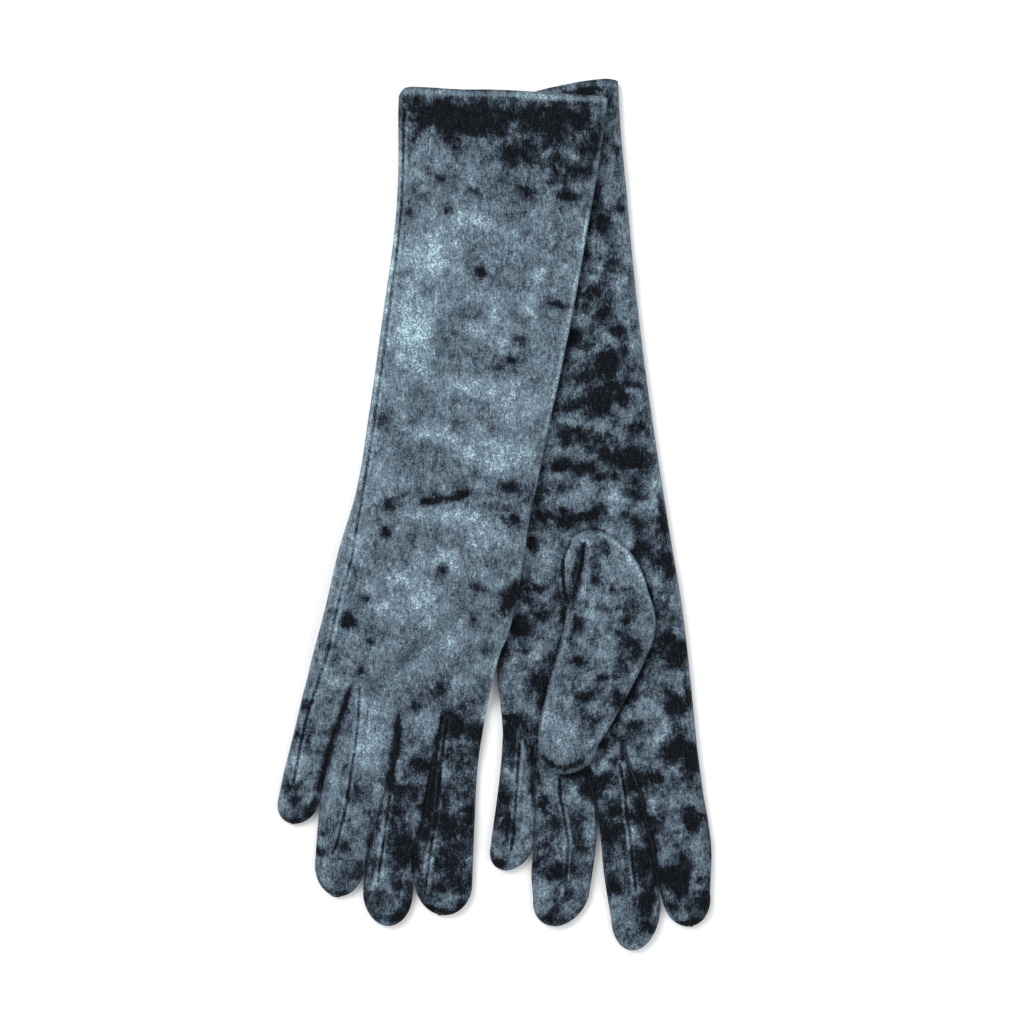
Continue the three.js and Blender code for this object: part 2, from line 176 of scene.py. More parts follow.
def leaf(
    low: Points, high: Points, tip: tuple[float, float], rows: int, tip_rows: int
) -> tuple[Array, Array, Array]:
    """The two sides of something flat and long, row by row, closing as half an ellipse.

    Args:
        low: The corners of the low side.
        high: The corners of the high side.
        tip: Where the two sides meet.
        rows: How many rows there are before the tip.
        tip_rows: How many rows the tip has.

    Returns:
        The points of the low side and of the high side, and how far each row is from the first.
    """
    share = np.linspace(0, 1, rows)
    turn = np.linspace(0, np.pi / 2, tip_rows)[1:, None]
    a, b = path_at(low, share), path_at(high, share)
    middle = (a[-1] + b[-1]) / 2
    beyond = (np.array(tip) - middle) * np.sin(turn)
    a = np.vstack([a, middle + (a[-1] - middle) * np.cos(turn) + beyond])
    b = np.vstack([b, middle + (b[-1] - middle) * np.cos(turn) + beyond])
    centre = (a + b) / 2
    run = np.r_[0, np.cumsum(np.linalg.norm(np.diff(centre, axis=0), axis=1))]
    return a, b, run


def distance_to(lines: tuple[Points, ...], x: Array, s: Array) -> Array:
    """How far each point lies from the nearest of some polylines, up to SEAM_FAR."""
    best = np.full(x.shape, SEAM_FAR)
    for line in lines:
        p = np.array(line, float)
        for a, b in zip(p[:-1], p[1:]):
            run = b - a
            t = ((x - a[0]) * run[0] + (s - a[1]) * run[1]) / (run @ run)
            t = np.clip(t, 0, 1)
            gap = np.hypot(x - a[0] - t * run[0], s - a[1] - t * run[1])
            best = np.minimum(best, gap)
    return best


@dataclass(frozen=True)
class Placing:
    """Where a glove lies in the pair: turned by some degrees, its origin at x, y."""

    turn: float
    x: float
    y: float

    def to_pair(self, x: Array, s: Array) -> tuple[Array, Array]:
        """The pair's x and y of points in the glove's own frame."""
        c, n = np.cos(np.radians(self.turn)), np.sin(np.radians(self.turn))
        return c * x + n * s + self.x, n * x - c * s + self.y

    def from_pair(self, x: Array, y: Array) -> tuple[Array, Array]:
        """Points of the pair in the glove's own frame."""
        c, n = np.cos(np.radians(self.turn)), np.sin(np.radians(self.turn))
        x, y = x - self.x, y - self.y
        return c * x + n * y, n * x - c * y


# ---- Wrinkles -------------------------------------------------------------------------------


@dataclass(frozen=True)
class Fold:
    """One wrinkle along a straight run: a ridge, or with a negative height a crease."""

    x0: float
    s0: float
    x1: float
    s1: float
    width: float
    height: float

    def at(self, x: Array, s: Array) -> Array:
        """Its height: a bell across the run, fading over the run's outer thirds."""
        run = np.array([self.x1 - self.x0, self.s1 - self.s0])
        length = np.linalg.norm(run)
        run = run / length
        along = ((x - self.x0) * run[0] + (s - self.s0) * run[1]) / length
        across = (x - self.x0) * run[1] - (s - self.s0) * run[0]
        fade = ease((along + 0.15) / 0.4) * ease((1.15 - along) / 0.4)
        return self.height * fade * np.exp(-((across / self.width) ** 2))


@dataclass(frozen=True)
class Rumple:
    """The loose unevenness of cloth lying on a table: many crossing waves, from a fixed seed."""

    seed: int
    height: float = 0.55
    waves: int = 26
    shortest: float = 11.0
    longest: float = 52.0

    def at(self, x: Array, s: Array) -> Array:
        """A sum of sine waves, each as high as it is long, in random directions."""
        rng = np.random.default_rng(self.seed)
        length = np.exp(
            rng.uniform(np.log(self.shortest), np.log(self.longest), self.waves)
        )
        angle, phase = rng.uniform(0, 2 * np.pi, (2, self.waves))
        total = np.zeros(x.shape)
        for k in range(self.waves):
            way = x * np.cos(angle[k]) + s * np.sin(angle[k])
            total += length[k] * np.sin(2 * np.pi * way / length[k] + phase[k])
        return self.height * total / (self.longest * np.sqrt(self.waves) * 0.35)


@dataclass(frozen=True)
class PileAndShadeSpots:
    """Soft spots where the crushed pile lies lighter or darker; a few dark ones are painted shade
    in creases and beside an edge lying over the piece.

    Each row is (x, s, half width, half length, hundredths lighter), a bell about x, s.
    """

    rows: tuple[tuple[float, float, float, float, float], ...] = ()

    def at(self, x: Array, s: Array) -> Array:
        """The sum of the light spots and of the dark ones, each kept from piling up."""
        light, dark = np.zeros(x.shape), np.zeros(x.shape)
        for sx, ss, wide, long, percent in self.rows:
            off = ((x - sx) / wide) ** 2 + ((s - ss) / long) ** 2
            bell = abs(percent) / 100 * np.exp(-off)
            if percent > 0:
                light = np.maximum(light, bell)
            else:
                dark = np.hypot(dark, 0.86 * bell + 0.1 * abs(percent) / 100 * np.exp(-off / 5))
        return light - np.minimum(dark, 0.62)


@dataclass(frozen=True)
class PaintedShadingLine:
    """A thin line of painted light in the pile: with a positive amount a painted highlight along a
    ridge or edge, with a negative one painted shade in a fold or crease.
    """

    points: Points
    width: float
    amount: float

    def at(self, x: Array, s: Array) -> Array:
        """The amount, falling off as a bell from the line."""
        gap = distance_to((self.points,), x, s)
        return self.amount * np.exp(-((gap / self.width) ** 2))


# ---- Tubes of cloth -------------------------------------------------------------------------


@dataclass(frozen=True)
class Section:
    """The pattern of points round a flattened tube.

    Four quarter rounds join a flat top and a flat bottom. Each point has its share of the way
    across, how far it is pulled in from the low and the high side, and its height from -1 to 1.
    """

    corner: int = 6
    flat: int = 60

    @cached_property
    def pattern(self) -> tuple[Array, Array, Array, Array]:
        """(share, low pull, high pull, height) of each point of the closed loop."""
        turn = np.linspace(0, np.pi / 2, self.corner + 1)[:-1]
        q = np.linspace(0, 1, self.flat + 1)
        pull, rise, none = 1 - np.cos(turn), np.sin(turn), 0 * turn
        share = np.r_[none, q, none + 1]
        low = np.r_[pull, 1 - q, none]
        high = np.r_[none, q, pull[::-1]]
        height = np.r_[rise, 0 * q + 1, rise[::-1]]
        back = slice(-2, 0, -1)  # the bottom is the top again, from the high side to the low
        return (
            np.r_[share, share[back]],
            np.r_[low, low[back]],
            np.r_[high, high[back]],
            np.r_[height, -height[back]],
        )

    def across(self, width: Array, low_round: Array, high_round: Array) -> Array:
        """How far across each point of each row lies, from 0 at the low side to 1."""
        share, low, high, _ = self.pattern
        width = np.maximum(width, 1e-6)[:, None]
        low_round = np.minimum(low_round[:, None], width / 2)
        high_round = np.minimum(high_round[:, None], width / 2)
        return share + (low_round * low - high_round * high) / width

    @property
    def height(self) -> Array:
        """The height of each point, from -1 to 1."""
        return self.pattern[3]


@dataclass
class Shell:
    """A grid of cloth, rows along a glove and columns round it, before it is a mesh."""

    x: Array
    s: Array
    z: Array
    side: Array  # from -1 underneath to 1 on top
    tone: Array


def cloth_mesh(name: str, shell: Shell, placing: Placing, seams: "Seams") -> bpy.types.Object:
    """Makes a grid into a closed piece of cloth of even thickness.

    The cloth is thickened inwards, poles are merged, and each point keeps its tone (the pile's,
    with painted highlights and painted shade) and how far it is from a seam.

    Args:
        name: The piece's name.
        shell: The grid, in the glove's frame.
        placing: Where the glove lies.
        seams: The seams near the piece.

    Returns:
        The new object, linked to the scene.
    """
    rows, cols = shell.x.shape
    px, py = placing.to_pair(shell.x, shell.s)
    co = np.stack([px, py, shell.z], -1).reshape(-1, 3) * MM
    j, k = np.meshgrid(np.arange(rows - 1), np.arange(cols), indexing="ij")
    n = (k + 1) % cols
    faces = np.stack(
        [j * cols + k, (j + 1) * cols + k, (j + 1) * cols + n, j * cols + n], -1
    ).reshape(-1, 4)
    mesh = bpy.data.meshes.new(name)
    mesh.from_pydata(co, [], faces.tolist())
    gap = np.where(
        shell.side > 0,
        distance_to(seams.up, shell.x, shell.s),
        distance_to(seams.down, shell.x, shell.s),
    )
    for label, values in (("seam_gap", gap), ("tone", shell.tone)):
        layer = mesh.attributes.new(label, "FLOAT", "POINT")
        layer.data.foreach_set("value", values.reshape(-1).astype(np.float32))
    bm = bmesh.new()
    bm.from_mesh(mesh)
    bmesh.ops.remove_doubles(bm, verts=bm.verts, dist=2e-6)
    bmesh.ops.recalc_face_normals(bm, faces=bm.faces)
    bm.to_mesh(mesh)
    bm.free()
    obj = bpy.data.objects.new(name, mesh)
    bpy.context.scene.collection.objects.link(obj)
    wall = obj.modifiers.new("wall", "SOLIDIFY")
    wall.thickness = CLOTH * MM
    wall.offset = -1
    bpy.context.view_layer.update()
    solid = bpy.data.meshes.new_from_object(
        obj.evaluated_get(bpy.context.evaluated_depsgraph_get())
    )
    obj.modifiers.clear()
    obj.data = solid
    bpy.data.meshes.remove(mesh)
    solid.name = name
    solid.shade_smooth()
    solid.set_sharp_from_angle(angle=float(np.radians(55)))
    return obj


@dataclass(frozen=True)
class Seams:
    """The seam lines on the two faces of a glove."""

    up: tuple[Points, ...]
    down: tuple[Points, ...]


# ---- One glove ------------------------------------------------------------------------------


@dataclass(frozen=True)
class Finger:
    """One finger, flat: its outlines from the crotches to where the tip starts, and its tip."""

    name: str
    low: Points
    high: Points
    tip: tuple[float, float]
    tone: float = 0.0


@dataclass(frozen=True)
class Thumb:
    """A thumb sleeve lying on the palm, with the two outlines from the arch to the tip."""

    low: Points
    high: Points
    tip: tuple[float, float]
    spots: PileAndShadeSpots = PileAndShadeSpots()
    lines: tuple[PaintedShadingLine, ...] = ()


    @property
    def outline(self) -> Points:
        """All round the sleeve."""
        return (*self.low, self.tip, *self.high[::-1])


@dataclass(frozen=True)
class Glove:
    """A glove laid flat: a hand and forearm of one piece, four fingers and a thumb sleeve."""

    side: str
    placing: Placing
    cuff: Points
    low_edge: Points
    high_edge: Points
    fingers: tuple[Finger, ...]
    thumb: Thumb
    thumb_face: Face
    seams: Seams
    folds: tuple[Fold, ...]
    spots: PileAndShadeSpots
    lines: tuple[PaintedShadingLine, ...]
    rumple: Rumple
    tone: float
    over: "Glove | None" = None

    # -- the surface ---------------------------------------------------------------------

    @cached_property
    def crotches(self) -> Array:
        """The five points where finger outlines meet the hand, from the low side."""
        lows = [f.low[0] for f in self.fingers]
        return np.array([*lows, self.fingers[-1].high[0]], float)

    def hand_point(self, q: Array, v: Array) -> tuple[Array, Array]:
        """A point of the hand, a share q across and a share v from cuff to finger roots.

        The s runs straight from the cuff's line to the roots' line, and x lies the same
        share between the two edges at that s.
        """
        x, s = self.crotches.T
        low, high = flowing(self.low_edge, s), flowing(self.high_edge, s)
        root = np.interp(q, (x - low) / (high - low), s)
        cuff = flowing(self.cuff, q)
        s = cuff + (root - cuff) * v
        low, high = flowing(self.low_edge, s), flowing(self.high_edge, s)
        return low + (high - low) * q, s

    def shares(self) -> Array:
        """How far across the hand each crotch lies."""
        x, s = self.crotches.T
        low, high = flowing(self.low_edge, s), flowing(self.high_edge, s)
        return np.clip((x - low) / (high - low), 0, 1)

    def lift(self, x: Array, s: Array) -> Array:
        """How far the cloth is raised by what lies under it.

        Over the other glove it is level, and it comes down outside that glove's edge and at
        the finger roots. Over its own thumb sleeve it is level, and falls off around it.
        """
        if self.over is None:
            return np.zeros(x.shape)
        under_x, under_s = self.over.placing.from_pair(*self.placing.to_pair(x, s))
        inside = under_x - flowing(self.over.low_edge, under_s)
        across = ease((inside + CLIMB_START) / CLIMB_WIDTH)
        climb = LIFT_OVER_GLOVE * across * (1 - ease((s - DESCENT_START) / DESCENT_RUN))
        start, end = np.array(TUCKED_LINE)
        run = end - start
        t = np.clip(((x - start[0]) * run[0] + (s - start[1]) * run[1]) / (run @ run), 0, 1)
        gap = np.hypot(x - start[0] - t * run[0], s - start[1] - t * run[1])
        outside = gap - (TUCKED_REACH[0] + (TUCKED_REACH[1] - TUCKED_REACH[0]) * t)
        return np.maximum(climb, LIFT_OVER_THUMB * ease((TUCKED_START - outside) / TUCKED_FALL))

    def relief(self, x: Array, s: Array, face: Face) -> Array:
        """How far the cloth stands off its flat shape: rumple, folds, seam grooves, crotches."""
        up = face is Face.UP
        gap = distance_to(self.seams.up if up else self.seams.down, x, s)
        total = self.rumple.at(x + (0 if up else 400), s)
        if up:
            for fold in self.folds:
                total = total + fold.at(x, s)
        pucker = 0.16 * np.sin(s * 1.15) * np.exp(-((gap / 4.5) ** 2))
        total = total + pucker - SEAM_GROOVE * np.exp(-((gap / 0.9) ** 2))
        for cx, cs in self.crotches[1:-1]:
            r = ((x - cx) / 5.5) ** 2 + ((s - cs + 1) / 8) ** 2
            total = total - 1.5 * np.exp(-r)
        return total

    def raised(self, x: Array, s: Array, side: Array, half: Array, level: Array) -> Array:
        """The height of points, from their flat place, the relief and the lift."""
        up, down = (self.relief(x, s, face) for face in (Face.UP, Face.DOWN))
        off = np.where(side > 0, up * side, np.maximum(down, -0.4) * side * 0.3)
        return np.maximum(level + half * side + off, FLOOR_GAP) + self.lift(x, s)

    def pile_and_painted_tone(self, x: Array, s: Array, side: Array) -> Array:
        """How light the pile lies before the finer crushing, with painted highlights and painted
        shade.

        The spots and lines belong to the upper face; the lines, and some dark spots, are painted
        light and shade. Mirrored spots serve for the lower one.
        """
        up = self.spots.at(x, s) + sum(line.at(x, s) for line in self.lines)
        down = 0.8 * self.spots.at(-x, s - 9)
        return self.tone + np.where(side > -0.05, up, down)

    def painted_thumb_shadow(self, x: Array, s: Array, side: Array) -> Array:
        """A painted contact shadow: a dark line on the palm round a thumb sleeve that lies on it.
        """
        if self.thumb_face is Face.DOWN:
            return 0 * x
        gap = distance_to((self.thumb.outline,), x, s)
        return np.where(side > 0, -0.2 * np.exp(-((gap / 1.3) ** 2)), 0.0)

    # -- pieces --------------------------------------------------------------------------

    def hand_shell(self) -> Shell:
        """The hand and forearm, from the hem's inner edge round the cuff to the finger roots.

        Rows of the hem lie inside the outer cloth, the lip is a half round between the two,
        and the rest are even steps from the cuff's line to the roots' line.
        """
        section = Section(corner=6, flat=64)
        lip = np.linspace(np.pi, 0, 7)
        hem = np.linspace(HEM_DEPTH, 0, 12, endpoint=False)
        inset = np.r_[np.full(len(hem), HEM_INSET), HEM_INSET / 2 * (1 - np.cos(lip))]
        shift = np.r_[hem, -0.6 * np.sin(lip)]
        v = np.linspace(0, 1, 272)[1:]
        inset = np.r_[inset, 0 * v]
        v = np.r_[shift / 300, v]
        width = 95.0 + 0 * v
        rounding = EDGE_ROUND + 0 * v
        q = section.across(width, rounding, rounding)
        q = q + inset[:, None] * (1 - 2 * q) / width[:, None]
        x, s = self.hand_point(q, v[:, None])
        half = (HALF_HEIGHT - inset)[:, None]
        side = section.height + 0 * x
        z = self.raised(x, s, side, half, np.full(x.shape, HALF_HEIGHT))
        tone = self.pile_and_painted_tone(x, s, side) + self.painted_thumb_shadow(x, s, side)
        # Painted sheen: a light band just inside each folded edge of the hand. The rows of the
        # turned-in hem are darker.
        painted_highlight = np.exp(-(((np.minimum(q, 1 - q) * width[:, None] - 0.9) / 0.8) ** 2))
        tone = tone + 0.12 * painted_highlight - 0.3 * (inset[:, None] > HEM_INSET / 2)
        return Shell(x, s, z, side, tone)

    def finger_shell(self, index: int) -> Shell:
        """A finger, from its part of the hand's root line to its tip.

        Each row runs straight between the two outlines. Its first row is the hand's last one,
        and the difference fades over the first rows. The tip's rows close as an ellipse.
        """
        finger = self.fingers[index]
        section = Section(corner=6, flat=24)
        low, high, run = leaf(finger.low, finger.high, finger.tip, rows=84, tip_rows=18)
        left = run[-1] - run
        width = np.linalg.norm(high - low, axis=1)
        grown = 6.0 * ease(run / SOFTEN)
        low_round = EDGE_ROUND + 0 * run if index == 0 else grown
        high_round = EDGE_ROUND + 0 * run if index == 3 else grown
        c = section.across(width, low_round, high_round)
        p = low[:, None] + (high - low)[:, None] * c[..., None]
        q0, q1 = self.shares()[index : index + 2]
        start = np.stack(self.hand_point(q0 + (q1 - q0) * c[0], np.ones(c.shape[1])), -1)
        p = p + (start - p[0]) * (1 - ease(run / 12))[:, None, None]
        x, s = p[..., 0], p[..., 1]
        slim = HALF_HEIGHT * (1 - 0.1 * ease(run / 30))
        half = slim * np.sqrt(1 - (1 - np.clip(left / TIP_ROUND, 0, 1)) ** 2)
        side = section.height + 0 * x
        z = self.raised(x, s, side, half[:, None], (0 * run + slim)[:, None])
        tone = self.pile_and_painted_tone(x, s, side) + finger.tone * ease(run / 25)[:, None]
        return Shell(x, s, z, side, tone)

    def thumb_shell(self) -> Shell:
        """The thumb sleeve, a long leaf from the arch to the tip, lying on its glove's palm."""
        thumb = self.thumb
        section = Section(corner=7, flat=48)
        low, high, run = leaf(thumb.low, thumb.high, thumb.tip, rows=120, tip_rows=20)
        left = run[-1] - run
        width = np.linalg.norm(high - low, axis=1)
        rounding = THUMB_EDGE_ROUND + 0 * run
        c = section.across(width, rounding, rounding)
        p = low[:, None] + (high - low)[:, None] * c[..., None]
        x, s = p[..., 0], p[..., 1]
        rise = 1 - (1 - np.clip(run / THUMB_ARCH_ROUND, 0, 1)) ** 2
        ends = rise * (1 - (1 - np.clip(left / THUMB_TIP_ROUND, 0, 1)) ** 2)
        half = (THUMB_HALF * np.sqrt(ends))[:, None]
        side = section.height + 0 * x
        up = self.thumb_face is Face.UP
        base = 2 * HALF_HEIGHT + 0.2 if up else LIFT_OVER_THUMB - 0.3
        level = base + half * (1 if up else -1)
        gap = distance_to(self.seams.up if up else self.seams.down, x, s)
        off = self.rumple.at(x + 900, s) - THUMB_GROOVE * np.exp(-(gap**2))
        off = off * np.clip(side if up else -side, 0, 1) * (half / THUMB_HALF)
        z = np.maximum(level + half * side + (off if up else -off), FLOOR_GAP)
        tone = self.tone + thumb.spots.at(x, s) + sum(line.at(x, s) for line in thumb.lines)
        return Shell(x, s, z, side, tone + 0 * x)

    def dress(
        self, part: str, shell: Shell, nodes: list[str], velvet: bpy.types.Material
    ) -> bpy.types.Object:
        """Makes one piece, gives it its material, and hides the nodes that it stands for.

        Args:
            part: The piece's name within the glove.
            shell: Its grid.
            nodes: The frame's nodes that it replaces.
            velvet: Its material.

        Returns:
            The piece.
        """
        obj = cloth_mesh(f"{self.side}_{part}_cloth", shell, self.placing, self.seams)
        obj.data.materials.append(velvet)
        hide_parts(*nodes)
        log.info("%s: %d faces", obj.name, len(obj.data.polygons))
        return obj

    def build(self, finish: "Velvet", frame: dict) -> list[bpy.types.Object]:
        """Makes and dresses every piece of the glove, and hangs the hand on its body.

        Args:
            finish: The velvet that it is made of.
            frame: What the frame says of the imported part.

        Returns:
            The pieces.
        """
        side = self.side
        joints = {joint["name"]: joint for joint in frame["joints"]}
        velvet = finish.material(f"{side}_velvet", self.placing.turn)
        nodes = [f"{side}_{node}" for node in HAND_NODES]
        hand = self.dress("hand", self.hand_shell(), nodes, velvet)
        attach(hand, f"{side}_hand")
        made = [hand]
        for index, finger in enumerate(self.fingers):
            shell = self.finger_shell(index)
            nodes = [n for n in frame["nodes"] if n.startswith(f"{side}_{finger.name}_")]
            obj = self.dress(finger.name, shell, nodes, velvet)
            self.bend(obj, joints[f"{side}_{finger.name}_fold"], shell)
            made.append(obj)
        nodes = [f"{side}_{node}" for node in THUMB_NODES]
        thumb = self.dress("thumb", self.thumb_shell(), nodes, velvet)
        self.bend(thumb, joints[f"{side}_thumb_swing"], None)
        return [*made, thumb]

    def bend(self, obj: bpy.types.Object, joint: dict, shell: Shell | None) -> None:
        """Reads a joint's hinge for a piece, and bakes the piece's transform; the piece is not
        bent.

        Args:
            obj: The piece.
            joint: The joint, as the frame has it.
            shell: The piece's grid, or None.
        """
        pos, axis = np.array(joint["pos_m"]), np.array(joint["axis"])
        along = np.array([-axis[1], axis[0], 0.0])
        co = np.zeros(len(obj.data.vertices) * 3)
        obj.data.vertices.foreach_get("co", co)
        if (co.reshape(-1, 3).mean(0) - pos) @ along < 0:
            along = -along
        if shell is not None:
            px, py = self.placing.to_pair(shell.x[0], shell.s[0])
            root = np.stack([px * MM, py * MM, 0 * px + pos[2]], -1)
        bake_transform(obj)


# ---- Finishes -------------------------------------------------------------------------------


class Value:
    """A number in a shader, so that arithmetic on it adds Math nodes."""

    def __init__(self, shader: "Shader", link: bpy.types.NodeSocket) -> None:
        """Wraps a node's output."""
        self.shader, self.link = shader, link

    def _math(self, operation: str, a: "Value | float", b: "Value | float") -> "Value":
        """One Math node on two values."""
        return self.shader.node("ShaderNodeMath", {"operation": operation}, {0: a, 1: b})

    def __add__(self, other: "Value | float") -> "Value":
        """This and the other."""
        return self._math("ADD", self, other)

    __radd__ = __add__

    def __sub__(self, other: "Value | float") -> "Value":
        """This less the other."""
        return self._math("SUBTRACT", self, other)

    def __rsub__(self, other: "Value | float") -> "Value":
        """The other less this."""
        return self._math("SUBTRACT", other, self)

    def __mul__(self, other: "Value | float") -> "Value":
        """This times the other."""
        return self._math("MULTIPLY", self, other)

    __rmul__ = __mul__

    def at_least(self, low: float) -> "Value":
        """This, or low where this is less."""
        return self._math("MAXIMUM", self, low)

    def span(self, low: float, high: float) -> "Value":
        """A smooth step from 0 at low to 1 at high."""
        return self.shader.node(
            "ShaderNodeMapRange",
            {"interpolation_type": "SMOOTHSTEP"},
            {"Value": self, "From Min": low, "From Max": high},
        )


class Shader:
    """A material's nodes, added one call at a time."""

    def __init__(self, name: str) -> None:
        """Starts a material with only its output and principled shader."""
        self.material = bpy.data.materials.new(name)
        self.material.use_nodes = True
        self.tree = self.material.node_tree
        self.surface = self.tree.nodes["Principled BSDF"]

    def set(self, node: bpy.types.Node, inputs: dict) -> None:
        """Sets a node's sockets to numbers, or links them to other nodes."""
        for key, value in inputs.items():
            if isinstance(value, Value):
                self.tree.links.new(value.link, node.inputs[key])
            else:
                node.inputs[key].default_value = value

    def node(
        self,
        kind: str,
        settings: dict | None = None,
        inputs: dict | None = None,
        output: int | str = 0,
        stops: tuple = (),
    ) -> Value:
        """Adds a node.

        Args:
            kind: The node's type.
            settings: Its own settings, set before its sockets.
            inputs: The values or links of its sockets.
            output: Which output is wanted.
            stops: (place, colour) of a ramp's stops.

        Returns:
            The wanted output.
        """
        node = self.tree.nodes.new(kind)
        for key, value in (settings or {}).items():
            setattr(node, key, value)
        if stops:
            ramp = node.color_ramp
            while len(ramp.elements) > 1:
                ramp.elements.remove(ramp.elements[-1])
            for k, (place, colour) in enumerate(stops):
                element = ramp.elements[0] if k == 0 else ramp.elements.new(place)
                element.position, element.color = place, colour
        self.set(node, inputs or {})
        return Value(self, node.outputs[output])

    def noise(self, place: Value, scale: float, detail: float, output: str = "Fac") -> Value:
        """Noise of a scale per metre, with some detail."""
        return self.node(
            "ShaderNodeTexNoise",
            {},
            {"Vector": place, "Scale": scale, "Detail": detail, "Roughness": 0.58},
            output=output,
        )

    def mapped(self, place: Value, turn: float, stretch: float) -> Value:
        """A place turned by some degrees, so that what follows is stretched along a glove."""
        return self.node(
            "ShaderNodeMapping",
            {},
            {
                "Vector": place,
                "Rotation": (0, 0, float(np.radians(-turn))),
                "Scale": (1.0, stretch, 1.0),
            },
        )


def linear(red: int, green: int, blue: int) -> tuple[float, float, float, float]:
    """A display colour from 0 to 255 as the linear colour that a shader takes."""
    c = np.array([red, green, blue]) / 255
    c = np.where(c <= 0.04045, c / 12.92, ((c + 0.055) / 1.055) ** 2.4)
    return (*c.tolist(), 1.0)


@dataclass(frozen=True)
class Velvet:
    """Crushed stretch velvet: pile lying this way and that, over a fine knitted rib.

    How light a spot looks is a sum: the piece's tone (the pile's, with painted highlights and
    painted shade), a broad unevenness, clouds, small crush marks, the rib, a glitter of single
    tufts that is stronger where the pile is light, painted shade in a seam's groove and a painted
    highlight on its lips. The clouds are stronger round the edges of dark spots, and tear them. A
    ramp turns the sum into colour.
    """

    broad: float = 0.24
    cloud: float = 0.72
    crush: float = 0.52
    tear: float = 1.05
    rib: float = 0.5
    tuft: float = 0.56
    glitter: float = 0.8

    def material(self, name: str, turn: float) -> bpy.types.Material:
        """The velvet for one glove.

        Args:
            name: The material's name.
            turn: The degrees by which the glove, and so its rib, is turned.

        Returns:
            The new material.
        """
        sh = Shader(name)
        place = sh.node("ShaderNodeTexCoord", output="Object")
        swirl = sh.noise(place, 160.0, 2.0, output="Color")
        warped = sh.node(
            "ShaderNodeVectorMath",
            {"operation": "MULTIPLY_ADD"},
            {0: swirl, 1: (0.006, 0.006, 0.006), 2: place},
        )
        broad = sh.noise(warped, 26.0, 2.0)
        cloud = sh.noise(sh.mapped(warped, turn, 0.8), 105.0, 5.0)
        crush = sh.noise(sh.mapped(warped, turn, 0.7), 430.0, 3.0)
        rib = sh.noise(sh.mapped(place, turn, 0.22), 1250.0, 2.0)
        tuft = sh.noise(place, 1050.0, 2.0)
        fine = sh.noise(place, 2300.0, 1.0)
        tone = sh.node("ShaderNodeAttribute", {"attribute_name": "tone"}, output="Fac")
        gap = sh.node("ShaderNodeAttribute", {"attribute_name": "seam_gap"}, output="Fac")
        # Painted shade in a seam's groove, and a painted highlight on the lips just beside it.
        painted_groove_shade = 1 - gap.span(0.15, 0.95)
        painted_highlight = gap.span(0.5, 1.2) * (1 - gap.span(1.4, 2.8))
        edge = tone.span(-0.12, 0.18) * (1 - tone.span(0.3, 0.5))
        lie = (
            tone
            + (broad - 0.5) * self.broad
            + (cloud - 0.5) * (edge * self.tear + self.cloud)
            + (crush - 0.5) * self.crush
        )
        glitter = (tuft - 0.47) * lie.span(0.48, 0.8) * self.glitter
        light = (
            lie.at_least(0.07)
            + glitter
            + (rib - 0.5) * self.rib
            + (tuft - 0.5) * self.tuft
            + (fine - 0.5) * self.tuft
            - painted_groove_shade * 0.18
            + painted_highlight * 0.12
        )
        colour = sh.node(
            "ShaderNodeValToRGB",
            {},
            {"Fac": light},
            stops=(
                (0.0, linear(1, 3, 6)),
                (0.14, linear(8, 13, 20)),
                (0.28, linear(33, 42, 52)),
                (0.4, linear(60, 72, 83)),
                (0.52, linear(84, 98, 110)),
                (0.66, linear(104, 122, 134)),
                (0.82, linear(128, 153, 163)),
                (1.0, linear(172, 204, 212)),
            ),
        )
        height = crush * 0.5 + rib * 0.35 + tuft * 0.45 + fine * 0.2
        bump = sh.node(
            "ShaderNodeBump",
            {},
            {"Height": height, "Strength": 0.5, "Distance": 0.001},
        )
        rough = 0.86 - light * 0.2
        sh.set(
            sh.surface,
            {
                "Base Color": colour,
                "Roughness": rough,
                "Normal": bump,
                "Specular IOR Level": 0.12,
                "Sheen Weight": 0.14,
                "Sheen Roughness": 0.35,
                "Sheen Tint": (0.62, 0.76, 0.86, 1.0),
            },
        )
        return sh.material
